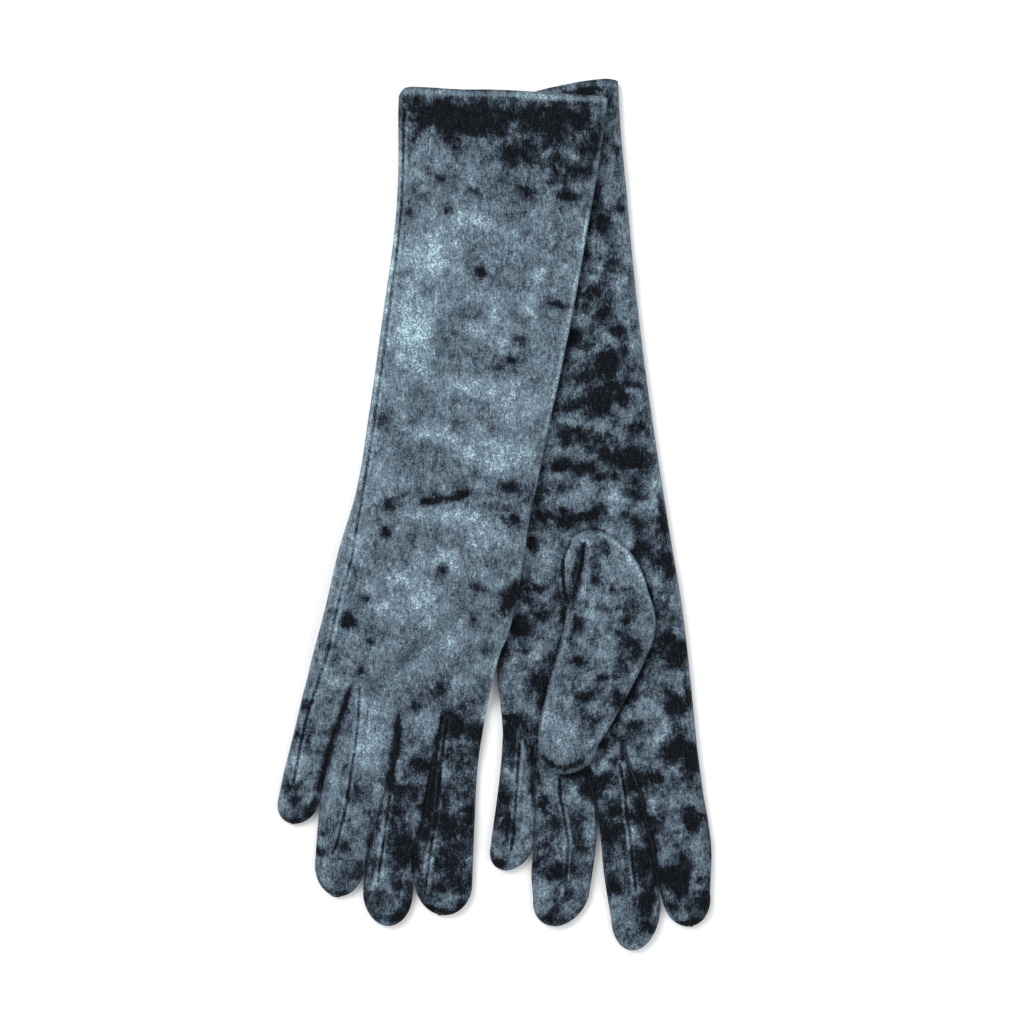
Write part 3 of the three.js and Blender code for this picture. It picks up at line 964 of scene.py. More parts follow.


# ---- The pair -------------------------------------------------------------------------------

# Mostly the crushed pile's own pattern; a few dark rows are painted shade, such as the painted
# shadow beside the right glove's edge at (-20.7, 215.9) and the crease at (-21.6, 236.9).
LEFT_SPOTS = PileAndShadeSpots(
    (
        (29.3, 0.5, 8.4, 2.1, -44), (41.5, 0.7, 8.4, 2.6, -32), (46.9, 3.8, 2.4, 5.8, -18),
        (38.6, 33.1, 1.9, 3.9, -32), (33.6, 63.2, 3.1, 9.4, -44), (34.8, 86.9, 4.7, 6.3, -32),
        (44.2, 60.7, 1.5, 4.8, -44), (45.2, 31.5, 1.9, 3.9, -18), (26.9, 98.5, 3.7, 5.2, -44),
        (29.1, 107.6, 5.2, 4.2, -32), (14, 117.8, 4.2, 6.8, -56), (18.6, 123.3, 3.7, 3.1, -32),
        (34, 118.1, 4.2, 2.6, -44), (27.2, 132.3, 3.7, 6.8, -56), (36.8, 144.9, 4.7, 2.1, -44),
        (20.9, 150.1, 8.9, 6.8, -56), (28.1, 144.2, 4.2, 5.2, -32), (5.8, 152.9, 5.2, 2.6, -44),
        (6.8, 164.3, 5.8, 4.2, -44), (35.4, 165.7, 4.2, 2.1, -44), (31.9, 181.4, 6.8, 5.2, -56),
        (-2.6, 179.2, 4.7, 2.6, -44), (9.2, 182.8, 4.7, 3.7, -44), (21, 178.5, 4.2, 3.7, -44),
        (18.7, 188, 7.3, 1.6, -32), (35.6, 182.9, 6.8, 4.7, -44), (33.5, 190.9, 3.1, 3.1, -32),
        (-6.7, 191.9, 6.3, 4.2, -32), (27.7, 197.5, 3.7, 2.6, -32), (36.6, 200.6, 3.1, 1.8, -44),
        (1.6, 170, 4.2, 2.6, -32), (23.5, 170.5, 4.2, 3.1, -32), (13, 139.7, 3.1, 2.6, -32),
        (36.6, 128.2, 1.9, 2.4, -32), (42.2, 104.5, 1.5, 2.9, -18), (30.7, 44.2, 1.9, 4.8, -18),
        (24, 80, 1.9, 2.9, -18), (19.9, 106.4, 3.1, 3.1, -32), (31.9, 152, 3.1, 3.1, -44),
        (14.2, 174.1, 4.2, 2.6, -18), (-0.3, 206, 9.4, 2.6, -44), (-5.1, 201.9, 5.2, 2.6, -32),
        (16.2, 203.3, 3.1, 2.6, -32), (-13.6, 203.2, 3.1, 2.6, -32), (30.6, 212.6, 2.4, 4.4, -32),
        (23.4, 208.2, 3.1, 2.6, -18), (44.5, 214.9, 2.4, 6.8, -56), (-20.7, 215.9, 2.2, 3.9, -56),
        (32.2, 226, 4.7, 4.7, -32), (44.5, 233, 3.1, 4.7, -56), (36.3, 232.4, 4.2, 4.2, -32),
        (41.1, 251.2, 1.9, 3.9, -44), (35.5, 245.5, 2.4, 3.9, -18), (-21.6, 236.9, 4.7, 1.6, -32),
        (-31.8, 254.6, 4.2, 4.7, -56), (-31.9, 266.3, 3.7, 1.8, -44), (-11, 241.7, 2.4, 3.4, -32),
        (-10.6, 250.1, 1.9, 3.4, -44), (-20, 250.3, 4.7, 2.6, -32), (-25.6, 245.1, 3.1, 4.2, -32),
        (-25.3, 282.8, 4.2, 4.2, -56), (-21.9, 272, 4.2, 3.1, -18), (37.5, 270.3, 4.7, 2.6, -56),
        (43.9, 277.5, 4.2, 6.3, -56), (38.3, 283.1, 3.1, 2.1, -32), (37.6, 302.6, 4.2, 4.7, -56),
        (44.9, 299.1, 1.9, 4.4, -44), (31.4, 293.9, 4.2, 3.1, -18), (-28.8, 290.7, 5.2, 3.1, -18),
        (27.6, 249.3, 3.1, 4.2, -18), (31.6, 274.3, 4.2, 3.1, -18), (-41.5, 297.8, 4.7, 1.8, -44),
        (-43.1, 309.3, 3.7, 10.5, -44), (-51, 335.7, 1.9, 3.4, -32), (-51.9, 349.3, 4.7, 7.3, -32),
        (-42.5, 337.8, 2.4, 4.4, -18), (-57.7, 367.1, 4.2, 2.6, -44),
        (-34.2, 319.3, 2.4, 7.8, -44), (-36.6, 333.7, 1.2, 5.8, -44),
        (-14.9, 329.3, 5.8, 2.4, -56), (-10.6, 336.7, 3.7, 4.2, -56),
        (-18.6, 323.9, 2.4, 2.4, -32), (-31.3, 363.8, 4.7, 7.9, -32),
        (-29.4, 375.3, 4.7, 4.2, -44), (-25.4, 385.6, 2.4, 2.9, -44),
        (-40.6, 396.3, 4.7, 2.6, -32), (-16.5, 359.4, 3.7, 9.4, -18), (-31, 339.3, 3.1, 4.2, -18),
        (-1.8, 333.5, 4.2, 3.7, -56), (6.1, 325.7, 3.1, 2.6, -32), (2.4, 349.7, 5.2, 3.1, -56),
        (-1, 360, 4.2, 6.3, -44), (-2.6, 386.7, 3.1, 2.6, -56), (10.9, 337.1, 2.4, 2.9, -56),
        (13.3, 352.1, 3.1, 9.4, -44), (12.3, 377.5, 4.7, 7.3, -44), (10.9, 395.4, 3.7, 6.3, -56),
        (10.4, 406.6, 2.4, 2.9, -32), (-1, 316.5, 3.1, 2.1, -18), (-5.5, 372.1, 3.1, 3.1, -18),
        (38, 303.1, 3.7, 4.2, -44), (18.5, 295.1, 3.7, 2.6, -32), (16.7, 309, 5.2, 2.4, -32),
        (37.7, 312.4, 5.2, 4.7, -32), (35.2, 324.3, 8.4, 5.8, -56), (42, 331.5, 4.2, 6.3, -56),
        (23.5, 334.9, 3.1, 2.1, -32), (37.7, 359.8, 3.7, 4.7, -44), (18.6, 356.3, 3.7, 2.6, -32),
        (29.4, 389.1, 4.7, 6.3, -56), (24.9, 382.6, 3.7, 4.2, -44), (39.3, 398.7, 1.9, 4.8, -56),
        (29.2, 408.6, 7.9, 1.8, -56), (23.6, 399, 3.1, 2.6, -32), (28.5, 315.5, 4.2, 2.6, -18),
        (25.6, 366.5, 4.2, 4.2, -18), (45.1, 344.7, 1.9, 2.9, -18), (32.4, 377.2, 3.1, 4.2, -32),
        (50, 301.3, 1, 2.9, -18), (38.4, 387.8, 1.9, 1.5, -32), (41.2, 46.6, 5, 8.8, 8),
        (5.1, 158.2, 7.6, 1.9, 17), (16.3, 111.8, 5, 3.2, 8), (36.8, 108.7, 5, 3.8, 8),
        (19.7, 162.6, 7.6, 3.8, 12), (-2.8, 184.1, 10.1, 1.9, 17), (21.4, 197.1, 6.3, 3.8, 25),
        (3, 195.6, 10.1, 3.2, 17), (42.6, 192.6, 2.5, 5, 25), (37.8, 173.4, 6.3, 2.5, 12),
        (-15.5, 224, 6.3, 8.8, 12), (15.8, 191.5, 10.1, 2.5, 12), (-21.1, 240.8, 4.4, 2.5, 17),
        (-19.5, 257.7, 5, 3.8, 12), (-22.6, 266.1, 6.3, 3.8, 12), (-35.6, 289.8, 6.3, 5, 12),
        (-43.5, 352.3, 3.2, 5, 17), (-42.1, 360.4, 2.5, 3.8, 17), (-39.7, 382.7, 3.8, 5, 17),
        (-11.1, 358.7, 1.3, 12.6, 12), (-3, 400.4, 6.9, 8.2, 12), (1.5, 374.1, 4.4, 3.8, 12),
        (37.5, 346.6, 6.9, 5, 17), (40.3, 373.4, 4.4, 10.1, 17), (29.5, 333.8, 5.7, 2.5, 12),
        (35.2, 389.8, 3.2, 4.4, 17), (27.7, 303.2, 5.7, 3.8, 17), (23.1, 319.7, 7.6, 6.3, 8),
        (47.5, 232.4, 1.9, 3.2, 17), (48.5, 247.3, 2.5, 12.6, 12), (26.9, 327.5, 5, 3.8, 12),
        (-18.6, 345.9, 2.5, 10.1, 8), (-0.3, 311.7, 3.8, 2.5, 12),
    ),
)

LEFT_THUMB_SPOTS = PileAndShadeSpots(
    (
        (14.9, 223.7, 1.9, 3.4, -44), (14.3, 242.7, 1.9, 4.4, -44), (21.2, 242.6, 3.7, 1.8, -32),
        (6.2, 226.9, 1.9, 4.8, -18), (1.9, 247.8, 2.2, 2.2, -32), (13.2, 251.3, 5.2, 1.8, -32),
        (-3.1, 256, 3.7, 3.1, -32), (19.1, 258, 3.1, 2.1, -44), (20.7, 268, 4.7, 4.2, -32),
        (-5.6, 274.7, 2.7, 2.4, -56), (14.8, 279.4, 4.7, 4.7, -32), (5.8, 284.1, 4.2, 1.6, -32),
        (-5, 291.9, 5.8, 3.7, -56), (9.7, 294.9, 3.1, 4.2, -32), (22.1, 275.5, 3.1, 3.7, -18),
        (7.8, 236.9, 4.2, 3.1, -18), (3.4, 265.7, 3.1, 3.1, -18), (-8.6, 264, 1.9, 1.9, -18),
        (15, 263.3, 1.9, 1.9, -18), (0.6, 304.4, 3.1, 3.1, -18), (-22.7, 299.4, 5, 5.7, 23),
        (-13.8, 306.4, 5.7, 6.3, 16), (7.5, 217.3, 5.7, 3.8, 11), (13.1, 230.3, 1.9, 8.8, 16),
        (25.4, 229.5, 3.2, 7.6, 11), (28.6, 242.1, 2.5, 8.8, 16), (4.8, 273.2, 8.8, 5, 11),
        (-10.9, 273.5, 4.4, 10.1, 11), (-1.5, 283.6, 6.3, 3.8, 11), (-20.2, 313.9, 7.6, 7.6, 7),
        (10.6, 266.6, 6.3, 3.8, 11), (-1.7, 230.7, 3.2, 7.6, 11),
    ),
)

# Mostly the crushed pile's own pattern; the rows of -22 along the crease near s = 192 to 201 are
# painted shade in that crease.
RIGHT_SPOTS = PileAndShadeSpots(
    (
        (-34.9, 12.7, 2.4, 4.8, -18), (-23.6, 15.1, 18.9, 8.2, -44), (-8.8, 10, 11.3, 7.6, -44),
        (-12.8, 20.5, 11.3, 5, -44), (-23.9, 19.1, 10.1, 6.3, -44), (9.9, 9.6, 16.4, 5.7, -44),
        (28.8, 5.2, 16.4, 5, -44), (43.9, 1.5, 7.6, 6.3, -32), (9.2, 27.9, 7.6, 5.7, -44),
        (7.6, 29.7, 4.2, 2.6, -32), (22.8, 13.2, 12.6, 5, -18), (19.1, 19.8, 18.9, 5.7, -18),
        (36.1, 29.5, 10.1, 6.3, -32), (41.2, 19.7, 8.8, 7.6, -18), (48, 13.6, 4.2, 11.5, -18),
        (38.8, 31, 4.2, 3.1, -44), (47.8, 1.3, 3.1, 5.2, -18), (-39.6, 30.3, 1.5, 2.9, -32),
        (-22.9, 47, 1.9, 1.9, -32), (-7.8, 48.7, 3.1, 2.1, -32), (-15.9, 61, 2.4, 1.9, -32),
        (-33.1, 64.1, 3.7, 2.6, -32), (21, 44, 4.2, 2.6, -44), (38.6, 43.4, 5.2, 2.6, -44),
        (29.9, 39, 2.4, 1.5, -32), (34.6, 56.9, 5.2, 1.4, -32), (38, 67.6, 1.9, 4.4, -18),
        (5.5, 86.7, 2.2, 2.2, -44), (26.9, 90.8, 1.9, 1.5, -32), (44.6, 96, 4.2, 1.5, -44),
        (27, 116.4, 3.7, 2.1, -44), (22.3, 131, 1.9, 1.5, -32), (25.9, 126.4, 1.5, 1.5, -32),
        (-27.1, 166, 4.7, 4.7, -18), (-15.2, 163.9, 1.9, 1.5, -32), (-2.6, 118.7, 5.2, 1.6, -18),
        (46.1, 60.7, 1.9, 2.4, -18), (3.1, 109.3, 4.2, 1, -18), (49.5, 142.4, 1.5, 1, -18),
        (-20.6, 205.2, 4.7, 4.7, -32), (-25.7, 207.1, 3.1, 2.1, -32),
        (-17.5, 219.5, 3.1, 2.6, -32), (-14.2, 215.9, 1.9, 4.8, -18),
        (-30.9, 238.1, 1.7, 1.5, -32), (-30.4, 246.9, 1.2, 2.4, -32), (-0.2, 200.6, 4.7, 1.5, -22),
        (7.5, 197.2, 6.3, 1.5, -22), (14.4, 194, 4.2, 1.4, -22), (21.9, 192.2, 4.2, 1, -22),
        (35.8, 187.2, 4.2, 3.1, -44), (24.4, 197.7, 1.9, 1.5, -22), (40.4, 201.7, 4.7, 3.7, -32),
        (36.2, 197.5, 3.1, 2.1, -18), (11.7, 231.5, 2.4, 2.4, -44), (-14, 236.6, 1.9, 1.7, -18),
        (32.9, 223.2, 2.4, 2.4, -18), (30.1, 237.5, 4.2, 2.1, -32), (30.1, 251.3, 1.5, 2.9, -32),
        (46.9, 238, 3.7, 8.9, -56), (47.1, 252.7, 1.9, 2.4, -32), (41, 230.2, 2.4, 2.4, -32),
        (-28.2, 264.3, 3.7, 3.7, -56), (-22.6, 251.9, 3.1, 2.1, -44), (-18.5, 261, 2.4, 2.9, -18),
        (-17.4, 272.2, 1.9, 1.5, -32), (-34.2, 277.7, 1.9, 1.9, -32),
        (-31.6, 284.1, 3.1, 2.6, -18), (-19.1, 287.8, 1.5, 2.9, -44), (20.6, 289.5, 3.7, 3.7, -44),
        (10.1, 299.3, 2.2, 1.7, -44), (39.3, 266.9, 2.4, 2.4, -32), (12, 246.7, 1.5, 1.9, -18),
        (-29.5, 182.7, 1.9, 1.9, -18), (-28.9, 172.7, 2.4, 2.4, -18), (29.7, 304.1, 4.7, 5.2, -44),
        (41.2, 308, 3.1, 5.2, -44), (34.1, 295.9, 5.2, 3.1, -18), (-31, 303.7, 1.9, 1.9, -18),
        (-42.9, 308.8, 2.2, 3.4, -35), (-37.9, 325.6, 1.6, 4.4, -26),
        (-43.4, 322.7, 1.9, 1.7, -26), (-41, 346.9, 3.1, 2.1, -26), (-39.9, 355.5, 2.2, 2.4, -26),
        (-38.2, 365.1, 5.2, 1.8, -35), (-30.6, 358.3, 1.9, 4.4, -35),
        (-42.2, 315.5, 2.4, 2.4, -14), (-10.6, 351.3, 2.2, 1.7, -26),
        (-24.3, 368.5, 2.2, 2.9, -26), (-11.2, 373.1, 4.7, 2.9, -35),
        (-22.7, 377.6, 2.4, 1.9, -26), (-12, 395.9, 6.3, 1.8, -35), (-21.3, 390.6, 1.5, 3.9, -26),
        (-3.2, 389.9, 3.1, 3.1, -26), (-16.1, 345.4, 4.2, 4.2, -14), (-2.1, 382.3, 1.5, 5.8, -26),
        (4.4, 317, 1.6, 7.8, -37), (5, 334.2, 1.5, 6.8, -21), (13.1, 326.8, 5.2, 2.1, -12),
        (11.2, 341.4, 3.1, 7.3, -21), (12.3, 352.6, 4.2, 2.6, -29), (14.5, 365, 5.8, 6.3, -37),
        (17.4, 386.7, 2.4, 2.4, -29), (2.7, 392.7, 1.7, 4.4, -29), (11.1, 404, 6.3, 2.1, -29),
        (21.2, 402.2, 5.2, 1.8, -29), (2.7, 359.7, 1.9, 2.9, -29), (4.2, 373.7, 1.2, 7.8, -21),
        (24.3, 392.3, 1.5, 3.9, -12), (15.7, 344.6, 3.1, 4.2, -12), (25.8, 304.3, 2.4, 4.4, -56),
        (26.8, 331.8, 2.2, 9.7, -29), (33.9, 322.1, 6.8, 5.2, -12), (39.8, 338.8, 5.2, 3.1, -21),
        (39.2, 351.7, 8.9, 6.3, -21), (41.6, 365.1, 8.9, 7.3, -21), (33.9, 374.3, 3.1, 4.2, -21),
        (41.7, 395.6, 9.4, 2.1, -37), (51.6, 390.4, 3.1, 2.6, -29), (24.6, 374.5, 1.5, 4.8, -29),
        (27.9, 357.2, 1.5, 5.8, -21), (38.9, 330.6, 6.3, 4.2, -12), (42.6, 384.1, 7.3, 6.3, -12),
        (31, 388.6, 2.4, 3.9, -12), (-20.6, 84, 12.6, 17.7, 25), (-22.6, 122.3, 11.3, 22.7, 25),
        (-1.7, 63.4, 15.1, 5.7, 25), (-28.5, 70.7, 7.6, 6.3, 12), (7.3, 99.7, 17, 6.3, 17),
        (-31.9, 34.8, 5, 4.4, 25), (-25.3, 39, 3.8, 6.3, 17), (-32.7, 46.8, 7.6, 3.2, 12),
        (14.1, 115.7, 15.1, 7.6, 17), (30.1, 100.6, 5, 5, 17), (32.9, 83.3, 3.2, 3.8, 25),
        (5.1, 142.5, 26.5, 5.7, 17), (32.7, 142.5, 12.6, 7.6, 17), (0.9, 168.4, 17.7, 4.4, 25),
        (12.7, 173.6, 8.8, 5, 17), (30.9, 173.3, 10.1, 6.3, 25), (-27.1, 105.9, 6.3, 12.6, 17),
        (18, 110.1, 8.8, 3.8, 17), (32.8, 109.9, 3.2, 5, 12), (-16.3, 138.4, 10.1, 6.3, 17),
        (-25.7, 154.9, 7.6, 5, 12), (-2.4, 207.9, 12.6, 3.8, 17), (11.8, 204.4, 18.9, 5.7, 25),
        (29.3, 211.1, 8.2, 8.8, 17), (-7.1, 239.3, 12.6, 6.3, 17), (-18, 247.1, 8.8, 6.3, 17),
        (1.5, 251.5, 22.7, 8.8, 17), (21.1, 264.3, 12.6, 12.6, 17), (13.1, 280.5, 13.9, 6.3, 12),
        (9.5, 227.4, 18.9, 7.6, 17), (-28.7, 294.4, 6.9, 3.8, 25), (-11.7, 304.2, 8.8, 6.3, 17),
        (-7.1, 319.1, 8.2, 8.8, 25), (-6.1, 329.8, 6.9, 5, 25), (-22.8, 341.1, 4.4, 8.8, 17),
        (-32.9, 314.9, 5.7, 4.4, 17), (-46.4, 338.5, 2.2, 7.6, 17), (-45.3, 358.5, 1.9, 5, 17),
        (-22.3, 357.8, 3.8, 5.7, 17), (-22.6, 372.6, 2.5, 3.2, 17), (4.6, 367.8, 2.3, 8.8, 25),
        (9.5, 381.2, 2.5, 3.8, 25), (21.2, 366.8, 2.5, 5, 17), (22.5, 352.2, 1.9, 4.4, 17),
        (30.1, 331.2, 2.3, 7.6, 17), (31.2, 359.1, 2.5, 3.8, 17), (-27.5, 191.2, 7.6, 8.8, 12),
        (-27.6, 226.7, 6.3, 7.6, 12), (39.3, 214.7, 5, 5, 12), (42, 78.7, 7.6, 12.6, 6),
        (43.1, 44, 5, 7.6, 6), (21.2, 72.6, 10.1, 10.1, 6), (-16.4, 192.7, 8.8, 3.8, 12),
        (-34, 264.8, 1.9, 25.2, 12), (19.7, 311.8, 7.6, 11.3, 6), (-25.8, 17, 26.5, 9.5, -32),
        (10.4, 12.4, 31.5, 11.3, -32), (41.2, 5.9, 12.6, 17.7, -18), (31.7, 21.4, 18.9, 12.6, -18),
    ),
)

LEFT = Glove(
    side="left",
    placing=Placing(7.66, 10.2, 202.7),
    cuff=((0, 0.8), (0.5, -0.6), (0.93, -3.1), (1, -1.6)),
    low_edge=(
        (-8, -51), (1, -50.6), (45, -44.4), (75, -41.6), (113, -40.2), (162, -39.5), (201, -39.4),
        (240, -39.9), (256, -41.4), (268, -44.4), (277, -46.0), (290, -46.3), (305, -47.1),
        (335, -52),
    ),
    high_edge=(
        (-8, 51.4), (22, 48.9), (51, 47.8), (81, 46.4), (129, 45.3), (178, 45.6), (227, 46.7),
        (252, 47.6), (276, 47.4), (301, 46.6), (335, 45.4),
    ),
    fingers=(
        Finger(
            "little",
            ((-47.0, 305), (-49.6, 318), (-52.0, 328.2), (-58.6, 352.3), (-60.4, 359)),
            ((-32.5, 311), (-35.35, 326), (-36.3, 341), (-38.6, 357), (-39.4, 361)),
            (-54.0, 371.4),
            -0.02,
        ),
        Finger(
            "ring",
            (
                (-32.5, 311), (-35.15, 326), (-36.1, 341), (-38.4, 357), (-42.4, 374.5),
                (-43.2, 387),
            ),
            (
                (-8.0, 325), (-8.55, 333), (-7.2, 343), (-6.9, 353), (-9.0, 363.8), (-13.5, 380.4),
                (-15.2, 386),
            ),
            (-32.5, 401.5),
            -0.03,
        ),
        Finger(
            "middle",
            (
                (-8.0, 325), (-8.35, 333), (-7.0, 343), (-6.6, 353), (-6.8, 364.2), (-7.4, 377.3),
                (-7.2, 391), (-6.8, 401),
            ),
            (
                (9.4, 321.5), (12.1, 331), (15.3, 343.1), (16.3, 357.5), (17.6, 369.4),
                (17.75, 387.5), (17.9, 398),
            ),
            (3.5, 418.2),
            -0.03,
        ),
        Finger(
            "index",
            (
                (9.4, 321.5), (12.3, 331), (15.5, 343.1), (16.5, 357.5), (17.8, 369.4),
                (17.95, 387.5), (19.1, 396),
            ),
            ((45.7, 323), (45.8, 347.2), (46.3, 361.5), (46.1, 374.2), (43.6, 390), (42.6, 395)),
            (31.5, 410.3),
            -0.05,
        ),
    ),
    thumb=Thumb(
        low=(
            (8.0, 212.4), (2.2, 213.6), (-2.4, 216.5), (-6.7, 224.7), (-8.4, 236.7), (-7.6, 246),
            (-11.3, 258.8), (-15.6, 270), (-20, 279.6), (-25.9, 294.5), (-29.9, 306.2),
            (-30.6, 313),
        ),
        high=(
            (8.2, 212.4), (13.3, 213.8), (18.0, 216.8), (24.4, 223.5), (29.6, 233.5), (31.8, 245),
            (33.8, 258), (31.6, 268.5), (26.8, 277.1), (18, 290.5), (7.5, 304.8), (-1.9, 316.2),
        ),
        tip=(-20.5, 328.2),
        spots=LEFT_THUMB_SPOTS,
        # Painted light on the thumb sleeve: painted highlights along its rounded edges and beside
        # the slit, painted shade in the slit, along its low edge and round its tip.
        lines=(
            PaintedShadingLine(
                (
                    (12.6, 215.5), (16.7, 218), (23.6, 224.8), (28.9, 235.8), (31.1, 241.5),
                    (31.7, 248.4), (33.3, 261.9),
                ),
                0.9,
                0.17,
            ),
            PaintedShadingLine(((3.8, 218.7), (1.4, 226.2), (-1.4, 235.7), (-4.4, 243.6)), 1.9, -0.49),
            PaintedShadingLine(((7.1, 219.7), (5.1, 227.7), (2.5, 236.2), (-1.2, 245.5)), 1.2, 0.14),
            PaintedShadingLine(
                (
                    (-3, 218.3), (-6.7, 224.7), (-7.9, 229.9), (-8.4, 236.7), (-7.3, 243.2),
                    (-7, 248.6),
                ),
                0.9,
                -0.23,
            ),
            PaintedShadingLine(((-10, 259.9), (-16, 275.3), (-23.1, 291.5), (-28.5, 306.4)), 0.9, 0.14),
            PaintedShadingLine(
                ((-30.8, 315.9), (-25.8, 322.4), (-18.7, 324.8), (-10.7, 323), (-5, 316.9)),
                1.2,
                -0.26,
            ),
            PaintedShadingLine(
                ((30.5, 264.4), (26.8, 273.7), (19.1, 283.9), (7.2, 299.4), (-1.5, 313)),
                1,
                0.12,
            ),
        ),
    ),
    thumb_face=Face.UP,
    seams=Seams(
        up=(
            ((-37.7, 304), (-40.5, 315.5), (-43.6, 331.3), (-47.4, 348.9), (-50.4, 361)),
            (
                (-22.6, 331), (-23.4, 340), (-22.6, 352.4), (-22.6, 362), (-24.4, 371.6),
                (-27.5, 386.3),
            ),
            ((7.4, 327), (7.8, 342.1), (7.2, 352.3), (7.7, 361.2), (6.9, 371.8), (6.9, 389)),
            ((-2.4, 216.5), (-6.7, 224.7), (-8.4, 236.7), (-7.6, 246)),
            ((4.4, 218.3), (1.5, 229), (-4.4, 243.6)),
        ),
        down=(
            ((-40, 22), (-34, 90), (-31, 205), (-33, 255), (-38, 300), (-46, 345)),
            ((-28, 322), (-31, 345), (-35, 385)),
            ((-4, 333), (-1, 360), (-1, 395)),
            ((14, 333), (21, 360), (23, 395)),
        ),
    ),
    folds=(Fold(-46, 297, -36, 300, 1.6, -1.2),),
    spots=LEFT_SPOTS,
    # Painted light on the left glove: the lines of positive amount are painted highlights along
    # the cuff's fold, ridges and seam lips, those of negative amount painted shade in creases and
    # between the fingers.
    lines=(
        PaintedShadingLine(((10, 0.3), (42, -1.6), (49, -0.3)), 1.3, 0.25),
        PaintedShadingLine(((-24, 233.1), (-22.1, 236.8), (-19.5, 239.6)), 1.4, -0.3),
        PaintedShadingLine(((-24.3, 235), (-22.3, 238.7), (-19.8, 241.5)), 1, 0.11),
        PaintedShadingLine(((-6.2, 180.7), (1.9, 178.4)), 1.2, -0.26),
        PaintedShadingLine(((29.1, 274.5), (23.8, 281.6), (18.5, 287.8), (14, 296), (5.5, 308)), 2, -0.33),
        PaintedShadingLine(((-45.8, 296.7), (-36.5, 300.4), (-36.8, 309.7)), 1.2, -0.33),
        PaintedShadingLine(
            ((-38, 300.7), (-38.9, 314.3), (-43.1, 331.3), (-47.4, 348.4), (-50.9, 360.1)),
            1,
            0.12,
        ),
        PaintedShadingLine(((-21.4, 348.5), (-22.1, 360.6), (-25.9, 381.6), (-29, 386.6)), 1, 0.14),
        PaintedShadingLine(((-8.8, 327.2), (-6.8, 345), (-6.6, 358.3)), 1.2, -0.36),
        PaintedShadingLine(((6.9, 334.6), (6.9, 341.5), (6.7, 350.3), (6.7, 368.9), (5.9, 381.5)), 1, 0.14),
        PaintedShadingLine(((0.4, 317.1), (4.7, 310.9), (9.3, 316.4), (9.1, 325.2)), 1.2, -0.3),
        PaintedShadingLine(
            (
                (10.5, 314.6), (12.2, 331), (15.5, 343.1), (16.5, 357.5), (17.8, 369.4),
                (17.8, 387.5), (18.9, 394.5),
            ),
            1.2,
            -0.33,
        ),
        PaintedShadingLine(((10.6, 405.1), (7.2, 408.1)), 1, -0.26),
        # Painted shadow cast by the right glove's edge where it lies over this glove.
        PaintedShadingLine(
            (
                (44.7, 5.5), (40.8, 21.0), (25.7, 69.7), (14.5, 105.0), (3.0, 138.1),
                (-4.9, 159.7), (-14.1, 186.2), (-19.5, 201.2), (-23.7, 215.6), (-28.6, 231.9),
                (-34.4, 248.9), (-38.5, 258.1), (-42.7, 265.2), (-54.1, 295.1),
            ),
            2.2,
            -0.13,
        ),
    ),
    rumple=Rumple(seed=11),
    tone=0.425,
)

